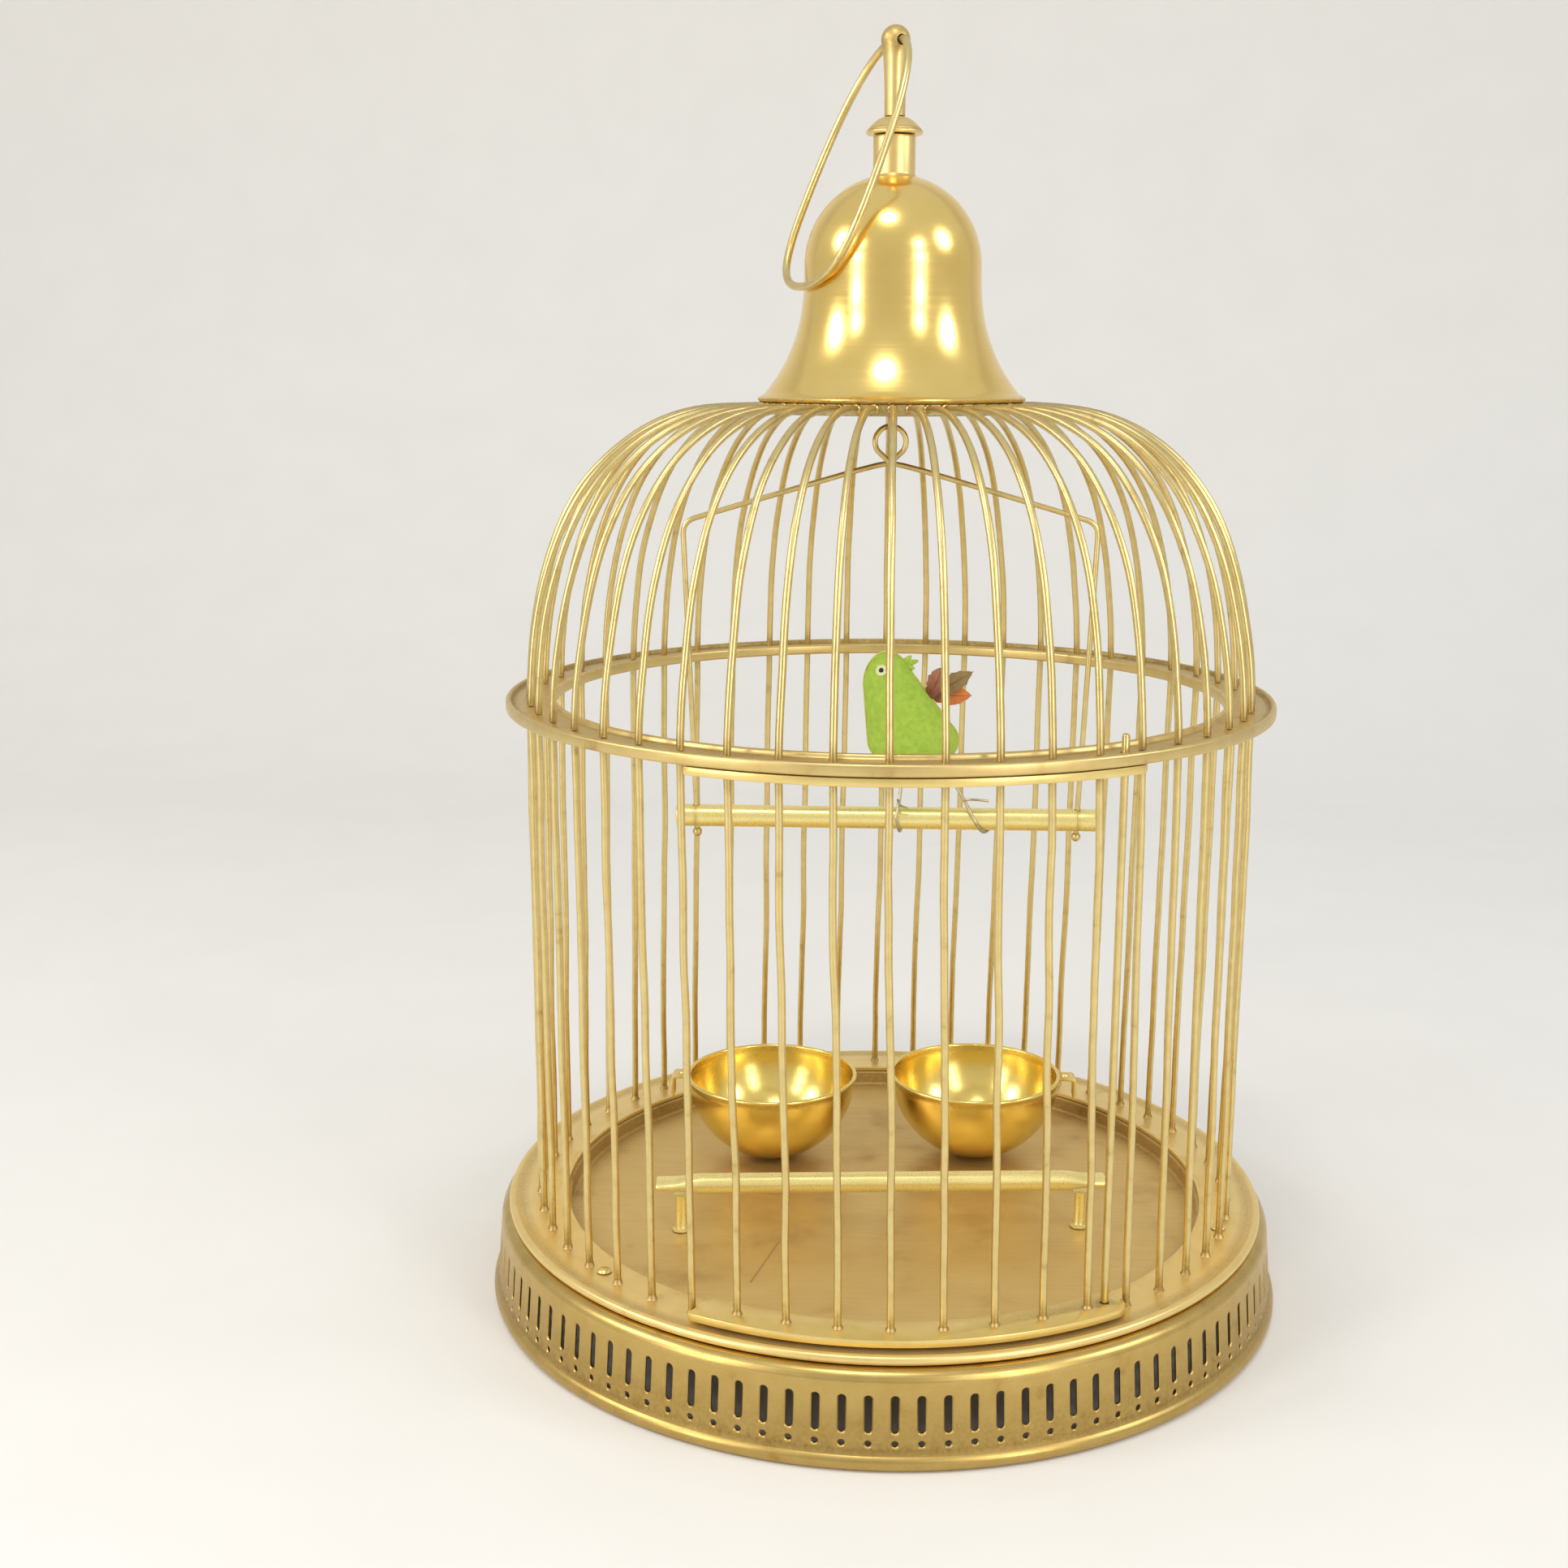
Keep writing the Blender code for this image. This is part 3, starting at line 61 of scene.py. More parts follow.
# Places that more than one sub-assembly needs. Pieces that only rest on each other are GAP apart.
GAP = 0.3 * MM
WIRE_COUNT = 48
WIRE_STEP = radians(360.0 / WIRE_COUNT)
WIRE_CIRCLE_R = 130.0 * MM
PIVOT_DEG = 34.75
PIVOT_HOLE_R = 1.65 * MM
FLOOR = 29.0 * MM
PERCH = 178.6 * MM
PERCH_R = 4.1 * MM
HANG = 321.5 * MM
SWING_WIRE_R = 1.0 * MM

Pair = tuple[float, float]
Triple = tuple[float, float, float]
Loop = list[Pair]
Rule = Callable[[Vector], float]
Adder = Callable[..., Node]


# Small helpers


def linear(code: str) -> tuple[float, float, float, float]:
    """Turns an sRGB hex colour into linear light.

    Args:
        code: six hex digits, without a sign before them.

    Returns:
        Red, green, blue and an alpha of one.
    """
    shares = [int(code[i:i + 2], 16) / 255.0 for i in (0, 2, 4)]
    lit = [c / 12.92 if c <= 0.04045 else ((c + 0.055) / 1.055) ** 2.4 for c in shares]
    return (lit[0], lit[1], lit[2], 1.0)


def feed(node: Node, inputs: dict) -> None:
    """Gives a node its values and links.

    Args:
        node: the node.
        inputs: for each input, by name or number, a value, an output socket, or a node, which gives
            its first output.
    """
    for key, value in inputs.items():
        if isinstance(value, Node):
            value = value.outputs[0]
        if isinstance(value, NodeSocket):
            node.id_data.links.new(value, node.inputs[key])
        else:
            node.inputs[key].default_value = value


def add_node(
    tree: NodeTree, kind: str, inputs: dict | None = None, **settings: object
) -> Node:
    """Adds a node with its settings, values and links.

    Args:
        tree: the tree that gets the node.
        kind: the node's type name.
        inputs: the node's values and links, as feed takes them.
        **settings: the node's own properties.

    Returns:
        The new node.
    """
    node = tree.nodes.new(kind)
    for key, value in settings.items():
        setattr(node, key, value)
    feed(node, inputs or {})
    return node


def start_material(name: str) -> tuple[Material, Adder, Node, NodeSocket]:
    """Starts a material.

    Args:
        name: its name.

    Returns:
        The material, what adds a node to it, its shader, and the socket with the place on the piece.
    """
    material = bpy.data.materials.new(name)
    material.use_nodes = True
    node = partial(add_node, material.node_tree)
    place = node("ShaderNodeTexCoord").outputs["Object"]
    return material, node, material.node_tree.nodes["Principled BSDF"], place


def polar(radius: float, azimuth_deg: float, z: float = 0.0) -> Vector:
    """Gives a place on the cage; the azimuth is 0 at the front, -Y, and grows towards +X."""
    a = radians(azimuth_deg)
    return Vector((radius * sin(a), -radius * cos(a), z))


def arc(centre: Pair, radius: float, start_deg: float, end_deg: float, steps: int) -> Loop:
    """Gives the points of an arc of so many chords, both ends included."""
    angles = [radians(start_deg + (end_deg - start_deg) / steps * i) for i in range(steps + 1)]
    return [(centre[0] + radius * cos(a), centre[1] + radius * sin(a)) for a in angles]


def rounded(corners: list[Triple], steps: int = 3) -> Loop:
    """Rounds the corners of a closed outline.

    Args:
        corners: each corner's two coordinates and its radius, 0 for a sharp one.
        steps: how many chords each round corner is made of.

    Returns:
        The outline.
    """
    outline: Loop = []
    for i, (u, v, radius) in enumerate(corners):
        here = Vector((u, v))
        before = Vector(corners[i - 1][:2]) - here
        after = Vector(corners[(i + 1) % len(corners)][:2]) - here
        reach = min(radius, 0.49 * before.length, 0.49 * after.length)
        if reach <= 0.0:
            outline.append((u, v))
            continue
        start, end = here + before.normalized() * reach, here + after.normalized() * reach
        for k in range(steps + 1):
            t = k / steps
            p = start * (1 - t) ** 2 + here * 2 * t * (1 - t) + end * t * t
            outline.append((p.x, p.y))
    return outline


def to_mesh(name: str, bm: BMesh, turn_out: bool = True) -> Mesh:
    """Stores a bmesh as a smooth mesh.

    Args:
        name: the mesh's name.
        bm: the bmesh, which is freed.
        turn_out: whether the normals are recalculated first.

    Returns:
        The mesh.
    """
    if turn_out:
        bmesh.ops.recalc_face_normals(bm, faces=bm.faces)
    mesh = bpy.data.meshes.new(name)
    bm.to_mesh(mesh)
    bm.free()
    mesh.shade_smooth()
    mesh.set_sharp_from_angle(angle=SMOOTH_ANGLE)
    return mesh


def join_rings(bm: BMesh, rings: list[list[BMVert]]) -> None:
    """Adds the faces between one closed ring and the next; a ring of one point is a pole.

    Args:
        bm: the bmesh that gets the faces.
        rings: the rings, all of the same count apart from the poles.
    """
    count = max(len(ring) for ring in rings)
    for low, high in zip(rings, rings[1:]):
        for i in range(count):
            j = i + 1
            corners = [low[i % len(low)], low[j % len(low)], high[j % len(high)], high[i % len(high)]]
            distinct = list(dict.fromkeys(corners))
            if len(distinct) > 2:
                bm.faces.new(distinct)


def add_tube(
    bm: BMesh, path: list[Vector], radii: list[float], sides: int, closed: bool = False
) -> None:
    """Sweeps a round section along a path without twisting it.

    Args:
        bm: the bmesh that gets the faces.
        path: the points of the path.
        radii: the radius at each point.
        sides: how many sides the section has.
        closed: whether the path returns to its start.
    """
    count = len(path)
    rings = []
    side = None
    for i in range(count):
        before = path[i - 1] if closed or i else path[i]
        after = path[(i + 1) % count] if closed or i + 1 < count else path[i]
        along = (after - before).normalized()
        if side is None:
            side = along.orthogonal().normalized()
        side = (side - along * side.dot(along)).normalized()
        other = along.cross(side)
        turns = [2.0 * pi * k / sides for k in range(sides)]
        ring = [path[i] + radii[i] * (cos(a) * side + sin(a) * other) for a in turns]
        rings.append([bm.verts.new(point) for point in ring])
    if closed:
        gaps = [(rings[-1][0].co - vert.co).length for vert in rings[0]]
        shift = gaps.index(min(gaps))
        rings.append(rings[0][shift:] + rings[0][:shift])
    join_rings(bm, rings)
    if not closed:
        bm.faces.new(rings[0][::-1])
        bm.faces.new(rings[-1])


def add_bar(bm: BMesh, middle: Vector, turn: Matrix, stations: list[Triple]) -> None:
    """Builds a bar from rings that all face one way, so that its ends may be undercut.

    Args:
        bm: the bmesh that gets the faces.
        middle: where the bar's middle goes.
        turn: how the bar, which lies along X, is turned.
        stations: the place along X, half height and half width of each ring, from one end in to the
            middle; the other half is the same.
    """
    sides = 28
    turns = [2.0 * pi * k / sides for k in range(sides)]
    rings = []
    for x, tall, wide in [(-x, tall, wide) for x, tall, wide in stations] + stations[-2::-1]:
        points = [Vector((x, wide * cos(a), tall * sin(a))) for a in turns]
        rings.append([bm.verts.new(middle + turn @ point) for point in points])
    join_rings(bm, rings)
    bm.faces.new(rings[0][::-1])
    bm.faces.new(rings[-1])


def add_plate(bm: BMesh, outline: list[Vector], lift: Vector) -> None:
    """Raises a flat outline into a plate.

    Args:
        bm: the bmesh that gets the faces.
        outline: the outline's points.
        lift: the way from the one face to the other.
    """
    low = [bm.verts.new(p) for p in outline]
    high = [bm.verts.new(p + lift) for p in outline]
    join_rings(bm, [low, high])
    bm.faces.new(low[::-1])
    bm.faces.new(high)


def turned(name: str, profile: Loop, segments: int = FINE, centre: Vector = Vector()) -> Mesh:
    """Turns a closed profile about an upright line into a mesh.

    Args:
        name: the mesh's name.
        profile: the (radius, height) points; a radius of 0 becomes a pole.
        segments: how many facets go round.
        centre: the line's place.

    Returns:
        The mesh.
    """
    bm = bmesh.new()
    rings = []
    for r, z in profile:
        count = segments if r > 1e-7 else 1
        rings.append([bm.verts.new(centre + polar(r, 360.0 * i / segments, z)) for i in range(count)])
    join_rings(bm, rings + rings[:1])
    return to_mesh(name, bm)


def swept(
    name: str, path: list[Vector], radii: list[float], sides: int, closed: bool = False
) -> Mesh:
    """Sweeps a round section along a path into a mesh.

    Args:
        name: the mesh's name.
        path: the points of the path.
        radii: the radius at each point.
        sides: how many sides the section has.
        closed: whether the path returns to its start.

    Returns:
        The mesh.
    """
    bm = bmesh.new()
    add_tube(bm, path, radii, sides, closed)
    return to_mesh(name, bm)


def polyline(name: str, path: list[Vector]) -> Mesh:
    """Makes a mesh of bare edges for a tree to sweep.

    Args:
        name: the mesh's name.
        path: the line's points.

    Returns:
        The mesh.
    """
    mesh = bpy.data.meshes.new(name)
    mesh.from_pydata(path, [(i, i + 1) for i in range(len(path) - 1)], [])
    return mesh


def smooth_path(corners: list[Vector], steps: int) -> list[Vector]:
    """Runs a smooth curve through given points.

    Args:
        corners: the points to pass through.
        steps: how many chords lie between two of them.

    Returns:
        The curve's points.
    """
    pull = 0.8 / 3.0
    path: list[Vector] = []
    for i in range(len(corners) - 1):
        here, there = corners[i], corners[i + 1]
        before = corners[i - 1] if i else here
        beyond = corners[i + 2] if i + 2 < len(corners) else there
        first = here + (there - before) * pull
        second = there - (beyond - here) * pull
        path += interpolate_bezier(here, first, second, there, steps + 1)[:-1]
    return path + [corners[-1]]


def place(
    mesh: Mesh,
    body: str,
    slot: str,
    nodes: list[str],
    finish: Material | None = None,
    grime_and_shade: Rule | None = None,
) -> Object:
    """Puts a finished mesh into the scene as a piece.

    Args:
        mesh: the piece's mesh; the piece takes its name.
        body: the moving body that it rides on.
        slot: the record's material slot; it is not used.
        nodes: the solids that it stands for.
        finish: the material, or None if the mesh has its own.
        grime_and_shade: gives the tarnish and the painted shade of its creases and joints, 0 to 1, at a point
            of the mesh.

    Returns:
        The piece.
    """
    if finish is not None:
        mesh.materials.clear()
        mesh.materials.append(finish)
    if grime_and_shade is not None:
        layer = mesh.attributes.new("grime_and_shade", "FLOAT", "POINT")
        layer.data.foreach_set("value", [min(1.0, max(0.0, grime_and_shade(v.co))) for v in mesh.vertices])
    piece = bpy.data.objects.new(mesh.name, mesh)
    bpy.context.scene.collection.objects.link(piece)
    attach(piece, body)
    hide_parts(*nodes)
    LOG.info("%s: %d faces on %s", piece.name, len(mesh.polygons), body)
    return piece


def bevel(bm: BMesh, width: float, steps: int = 2) -> None:
    """Rounds the sharp edges of a bmesh.

    Args:
        bm: the bmesh to change.
        width: how far the round reaches on each side of an edge.
        steps: how many facets the round is made of.
    """
    bmesh.ops.recalc_face_normals(bm, faces=bm.faces)
    sharp = [edge for edge in bm.edges if edge.calc_face_angle(0.0) > SMOOTH_ANGLE]
    bmesh.ops.bevel(
        bm, geom=sharp, offset=width, segments=steps, profile=0.5, affect="EDGES", clamp_overlap=True
    )


def cut(mesh: Mesh, cutter: BMesh) -> Mesh:
    """Takes the cutter's room out of a mesh.

    Args:
        mesh: the mesh to cut.
        cutter: one or more closed bodies; it is freed.

    Returns:
        The mesh that is left, under the same name.
    """
    bmesh.ops.recalc_face_normals(cutter, faces=cutter.faces)
    tool = bpy.data.objects.new("cutter", to_mesh("cutter", cutter))
    work = bpy.data.objects.new("work", mesh)
    for obj in (tool, work):
        bpy.context.scene.collection.objects.link(obj)
    modifier = work.modifiers.new("cut", "BOOLEAN")
    modifier.operation = "DIFFERENCE"
    modifier.solver = "EXACT"
    modifier.object = tool
    graph = bpy.context.evaluated_depsgraph_get()
    left = bpy.data.meshes.new_from_object(work.evaluated_get(graph))
    name = mesh.name
    for obj in (tool, work):
        spare = obj.data
        bpy.data.objects.remove(obj)
        bpy.data.meshes.remove(spare)
    left.name = name
    left.set_sharp_from_angle(angle=SMOOTH_ANGLE)
    return left


def drill(mesh: Mesh, holes: list[tuple[Vector, Vector, float]], sides: int) -> Mesh:
    """Drills straight round holes through a mesh.

    Args:
        mesh: the mesh to drill.
        holes: the two ends and the radius of each.
        sides: how many sides each has.

    Returns:
        The mesh that is left, under the same name.
    """
    drills = bmesh.new()
    for start, end, radius in holes:
        add_tube(drills, [start, end], [radius] * 2, sides)
    return cut(mesh, drills)


def near(value: float, middle: float, reach: float) -> float:
    """Gives 1 at the middle, falling to 0 at the reach on both sides."""
    return max(0.0, 1.0 - abs(value - middle) / reach)


# Finishes


class Working(Enum):
    """How a metal piece was made, which sets the way that its marks run."""

    SPUN = "rings about the middle line"
    DRAWN = "streaks along the wire"
    PRESSED = "marks that run every way"
    WIPED = "streaks from side to side, left by a cloth"


@dataclass(frozen=True)
class BrassFinish:
    """Brass as it was worked, with its lacquer, wear and tarnish, and painted shade in its creases.

    The grime value that a mesh carries adds tarnish and painted shade in its creases and where its parts
    meet.
    """

    name: str
    pale: str
    deep: str
    # The dark tone that the tarnish patches, the scratch and the painted shade in creases mix towards.
    grime_and_shade: str
    smooth: float
    rough: float
    spread: float
    working: Working = Working.PRESSED
    blotch: float = 9.0 * MM
    mark_size: float = 0.5 * MM
    relief: float = 0.012 * MM
    bare: float = 1.0
    scratch: tuple[Triple, Triple] | None = None
    scratch_core: float = 0.15 * MM
    scratch_edge: float = 0.65 * MM
    speck: float = 1.3 * MM
    grime_rough: float = 0.62

    def run(self, node: Adder, place: NodeSocket) -> Node | NodeSocket:
        """Adds the nodes that stretch the marks the way that the metal was worked.

        Args:
            node: adds a node to the material.
            place: the socket with the place on the piece.

        Returns:
            What gives the place for the marks.
        """
        if self.working is Working.PRESSED:
            return place
        if self.working is Working.SPUN:
            flat = node("ShaderNodeVectorMath", {0: place, 1: (1.0, 1.0, 0.0)}, operation="MULTIPLY")
            radius = node("ShaderNodeVectorMath", {0: flat}, operation="LENGTH").outputs["Value"]
            height = node("ShaderNodeSeparateXYZ", {0: place}).outputs["Z"]
            return node("ShaderNodeCombineXYZ", {"X": radius, "Y": height})
        stretch = (1.0, 1.0, 0.05) if self.working is Working.DRAWN else (0.05, 0.6, 1.0)
        return node("ShaderNodeMapping", {"Vector": place, "Scale": stretch})

    def scratched(self, node: Adder, place: NodeSocket) -> Node:
        """Adds the nodes that find the scratch, a thin straight line between two points.

        Args:
            node: adds a node to the material.
            place: the socket with the place on the piece.

        Returns:
            The node that gives the scratch's darkening on the line, and 0 away from it.
        """
        start = Vector(self.scratch[0])
        way = Vector(self.scratch[1]) - start
        offset = node("ShaderNodeVectorMath", {0: place, 1: start}, operation="SUBTRACT")
        reach = {0: offset, 1: way / way.length_squared}
        share = node("ShaderNodeVectorMath", reach, operation="DOT_PRODUCT").outputs["Value"]
        kept = node("ShaderNodeClamp", {"Value": share})
        foot = node("ShaderNodeVectorMath", {0: way, 3: kept}, operation="SCALE")
        ends = {0: offset, 1: foot}
        apart = node("ShaderNodeVectorMath", ends, operation="DISTANCE").outputs["Value"]
        fade = {"Value": apart, "From Min": self.scratch_core, "From Max": self.scratch_edge}
        return node("ShaderNodeMapRange", fade | {"To Min": 0.75, "To Max": 0.0})

    def build(self) -> Material:
        """Builds the material.

        Returns:
            The material.
        """
        material, node, shader, place = start_material(self.name)
        grain = {"Vector": self.run(node, place), "Scale": 1.0 / self.mark_size, "Detail": 3.0}
        marks = node("ShaderNodeTexNoise", grain)
        cloud = node("ShaderNodeTexNoise", {"Vector": place, "Scale": 1.0 / self.blotch, "Detail": 5.0})
        specks = node("ShaderNodeTexNoise", {"Vector": place, "Scale": 1.0 / self.speck, "Detail": 2.0})
        worn = {"Value": cloud, "From Min": 0.72 - self.spread * 0.35, "From Max": 0.80}
        patches = node("ShaderNodeMapRange", worn, interpolation_type="SMOOTHSTEP")
        # Painted shade with tarnish: the mesh's crease value darkens and dulls the metal where parts meet and
        # in hollows.
        crease = node("ShaderNodeAttribute", attribute_name="grime_and_shade").outputs["Fac"]
        rub = node("ShaderNodeMath", {0: specks, 1: 1.0, 2: 0.2}, operation="MULTIPLY_ADD")
        crease_shade_and_dirt = node("ShaderNodeMath", {0: crease, 1: rub}, operation="MULTIPLY")
        shares = {0: patches, 1: self.spread, 2: crease_shade_and_dirt}
        dirt_and_shade = node("ShaderNodeMath", shares, operation="MULTIPLY_ADD", use_clamp=True)
        if self.scratch is not None:
            dirt_and_shade = node("ShaderNodeMath", {0: dirt_and_shade, 1: self.scratched(node, place)}, operation="MAXIMUM")
        tones = {0: cloud, 6: linear(self.pale), 7: linear(self.deep)}
        metal = node("ShaderNodeMix", tones, data_type="RGBA").outputs[2]
        dirt_and_shade_tones = {0: dirt_and_shade, 6: metal, 7: linear(self.grime_and_shade)}
        colour = node("ShaderNodeMix", dirt_and_shade_tones, data_type="RGBA").outputs[2]
        gloss = {"Value": marks, "From Min": 0.3, "From Max": 0.7}
        gloss |= {"To Min": self.smooth, "To Max": self.rough}
        dull = {0: dirt_and_shade, 2: node("ShaderNodeMapRange", gloss), 3: self.grime_rough}
        roughness = node("ShaderNodeMix", dull, data_type="FLOAT")
        relief = node("ShaderNodeBump", {"Height": marks, "Distance": self.relief})
        feed(shader, {"Metallic": self.bare, "Base Color": colour, "Roughness": roughness, "Normal": relief})
        return material


@dataclass(frozen=True)
class FeltFinish:
    """Needled wool felt: matte, two shades deep, with a soft bloom at its edges."""

    name: str
    pale: str
    deep: str
    clump: float = 2.2 * MM
    fibre: float = 0.16 * MM
    relief: float = 0.10 * MM

    def build(self) -> Material:
        """Builds the material.

        Returns:
            The material.
        """
        material, node, shader, place = start_material(self.name)
        clumps = node("ShaderNodeTexNoise", {"Vector": place, "Scale": 1.0 / self.clump, "Detail": 4.0})
        fibres = {"Vector": place, "Scale": 1.0 / self.fibre, "Detail": 2.0, "Distortion": 1.5}
        hairs = node("ShaderNodeTexNoise", fibres)
        # Painted highlight: the fibre noise that raises the bump also pales the colour, so raised fibres look
        # lit; the clumps give random tone.
        share = node("ShaderNodeMath", {0: clumps, 1: hairs}, operation="ADD")
        tone = node("ShaderNodeMapRange", {"Value": share, "From Min": 0.6, "From Max": 1.4})
        tones = {0: tone, 6: linear(self.deep), 7: linear(self.pale)}
        colour = node("ShaderNodeMix", tones, data_type="RGBA").outputs[2]
        relief = node("ShaderNodeBump", {"Height": hairs, "Distance": self.relief})
        feed(shader, {"Base Color": colour, "Normal": relief, "Roughness": 0.95, "Sheen Weight": 0.50})
        feed(shader, {"Sheen Roughness": 0.45, "Sheen Tint": linear(self.pale)})
        return material


@dataclass(frozen=True)
class FeatherFinish:
    """A dyed feather: silky barbs that run out from the shaft, dark at the root and warm at the tip.

    It reads the mesh's along value, 0 at the root, and its barb value, which counts the barbs.
    """

    name: str
    root: str
    tip: str
    patch: float = 1.8 * MM
    relief: float = 0.04 * MM

    def build(self) -> Material:
        """Builds the material.

        Returns:
            The material.
        """
        material, node, shader, place = start_material(self.name)
        patchy = node("ShaderNodeTexNoise", {"Vector": place, "Scale": 1.0 / self.patch, "Detail": 3.0})
        push = node("ShaderNodeMath", {0: patchy, 1: 0.8, 2: -0.4}, operation="MULTIPLY_ADD")
        along = node("ShaderNodeAttribute", attribute_name="along").outputs["Fac"]
        blend = node("ShaderNodeMath", {0: along, 1: push}, operation="ADD", use_clamp=True)
        tones = {0: blend, 6: linear(self.root), 7: linear(self.tip)}
        colour = node("ShaderNodeMix", tones, data_type="RGBA").outputs[2]
        barb = node("ShaderNodeAttribute", attribute_name="barb").outputs["Fac"]
        wave = node("ShaderNodeMath", {0: barb, 1: 2.0 * pi}, operation="MULTIPLY")
        ribs = node("ShaderNodeMath", {0: wave}, operation="SINE")
        relief = node("ShaderNodeBump", {"Height": ribs, "Distance": self.relief})
        feed(shader, {"Base Color": colour, "Normal": relief, "Roughness": 0.70, "Sheen Weight": 0.20})
        return material


@dataclass(frozen=True)
class GlazedFinish:
    """A moulded or painted face with a little gloss and faint mottling."""

    name: str
    pale: str
    deep: str
    roughness: float
    patch: float = 0.9 * MM

    def build(self) -> Material:
        """Builds the material.

        Returns:
            The material.
        """
        material, node, shader, place = start_material(self.name)
        cloud = node("ShaderNodeTexNoise", {"Vector": place, "Scale": 1.0 / self.patch, "Detail": 3.0})
        tones = {0: cloud, 6: linear(self.pale), 7: linear(self.deep)}
        colour = node("ShaderNodeMix", tones, data_type="RGBA").outputs[2]
        gloss = {"Value": cloud, "To Min": self.roughness, "To Max": self.roughness + 0.2}
        feed(shader, {"Base Color": colour, "Roughness": node("ShaderNodeMapRange", gloss)})
        return material


class Finishes:
    """Every material of the object, made once."""

    def __init__(self) -> None:
        """Builds the materials."""
        spun, drawn = Working.SPUN, Working.DRAWN
        # Spun and lacquered brass sheet: satin gold, with brown spots where the lacquer has gone.
        self.skirt = BrassFinish("skirt_brass", "D1B671", "BA9A55", "6E5329", 0.24, 0.36, 0.34, spun).build()
        # Flat spun ring, wiped clean round the wires: pale gold, its lacquer thin and cloudy.
        self.flange = BrassFinish(
            "flange_brass", "F2DA96", "E2C278", "8C6E3A", 0.30, 0.42, 0.30, spun, bare=0.80
        ).build()
        # Drawn brass bar and strip, rubbed bright by hands: yellow, its marks run every way.
        self.brass = BrassFinish(
            "bright_brass", "F2DC94", "DEC276", "94794A", 0.28, 0.40, 0.14, relief=0.003 * MM, bare=0.85
        ).build()
        # Drawn tube under a coat of yellowed lacquer, worn even: it stays pale in the shade too.
        self.tube = BrassFinish(
            "lacquered_tube", "FCF0A8", "F0DC8E", "A08A50", 0.26, 0.36, 0.12,
            blotch=12.0 * MM, relief=0.0008 * MM, bare=0.72,
        ).build()
        # Sheet that stood under seed and water: matte tan with a cloudy brown patina and one scratch.
        self.tray = BrassFinish(
            "tarnished_sheet", "E3C884", "CFAE6C", "A8884F", 0.38, 0.56, 0.50, Working.WIPED,
            22.0 * MM, 0.9 * MM, 0.010 * MM, 0.75, ((-0.0451, -0.0770, FLOOR), (-0.0370, -0.0441, FLOOR)),
        ).build()
        # Pressed ring brass gone dull: tan, darkened along its lips with tarnish and painted shade.
        self.ring = BrassFinish(
            "dull_ring_brass", "E4CD8E", "CAAE6E", "7A6238", 0.30, 0.44, 0.36, spun
        ).build()
        # Spun and buffed bell brass: nearly a mirror, with the finest rings of the lathe.
        self.polished = BrassFinish(
            "polished_brass", "FADB88", "EECC74", "92703A", 0.15, 0.25, 0.12, spun,
            14.0 * MM, 0.4 * MM, 0.002 * MM,
        ).build()
        # Brass turned on the lathe and handled since: satin, with rings too fine to count.
        self.turned = BrassFinish(
            "turned_brass", "F4DC98", "E4C67E", "947442", 0.28, 0.40, 0.10, spun,
            8.0 * MM, 0.4 * MM, 0.004 * MM,
        ).build()
        # Cups of the same brass, with fine scratches every way.
        self.cup = BrassFinish(
            "cup_brass", "F7E08E", "E8CC70", "9C7E46", 0.17, 0.27, 0.12, blotch=12.0 * MM, relief=0.003 * MM
        ).build()
        # Drawn brass wire: pale gold with brown spots where fingers and solder have been.
        self.wire = BrassFinish(
            "drawn_wire", "EAD89C", "D0B674", "745A2E", 0.27, 0.35, 0.32, drawn,
            5.0 * MM, 0.3 * MM, 0.0015 * MM,
        ).build()
        # Soft solder dabs gone grey-brown at the wires' feet.
        self.solder = BrassFinish(
            "solder", "D2B67A", "A88C58", "6E5630", 0.38, 0.50, 0.50,
            blotch=1.5 * MM, mark_size=0.3 * MM, relief=0.02 * MM,
        ).build()
        # Tinned iron wire, grey and a little yellow.
        self.leg_wire = BrassFinish(
            "leg_wire", "C9BFA0", "A3956F", "5C4B2C", 0.28, 0.40, 0.30, drawn, 3.0 * MM, 0.2 * MM, 0.004 * MM
        ).build()
        # Green needled felt in random clumps of two greens, with a painted highlight on the fibres that stand
        # up.
        self.felt = FeltFinish("green_felt", "B7D453", "8AAF37").build()
        # Pale yellow cotton thread, twisted, with a slight sheen and a painted highlight on its raised
        # fibres.
        self.thread = FeltFinish("pale_thread", "E4DE8E", "C2B65C", 0.8 * MM, 0.12 * MM, 0.05 * MM).build()
        # Dyed feathers with a silky surface: red-brown, olive-brown and orange.
        self.feathers = (
            FeatherFinish("feather_red_brown", "7A3A24", "B47C5A").build(),
            FeatherFinish("feather_olive_brown", "6A4428", "9A8450").build(),
            FeatherFinish("feather_orange", "96491F", "E0843A").build(),
        )
        # Pressed cream disc behind the eye's bead.
        self.eye = GlazedFinish("eye_disc", "E6E8C4", "C6CE92", 0.40).build()
        # A black glass bead, which gives the eye its one bright point.
        self.pupil = GlazedFinish("eye_bead", "14110E", "060504", 0.08).build()


# Trees that repeat a small form


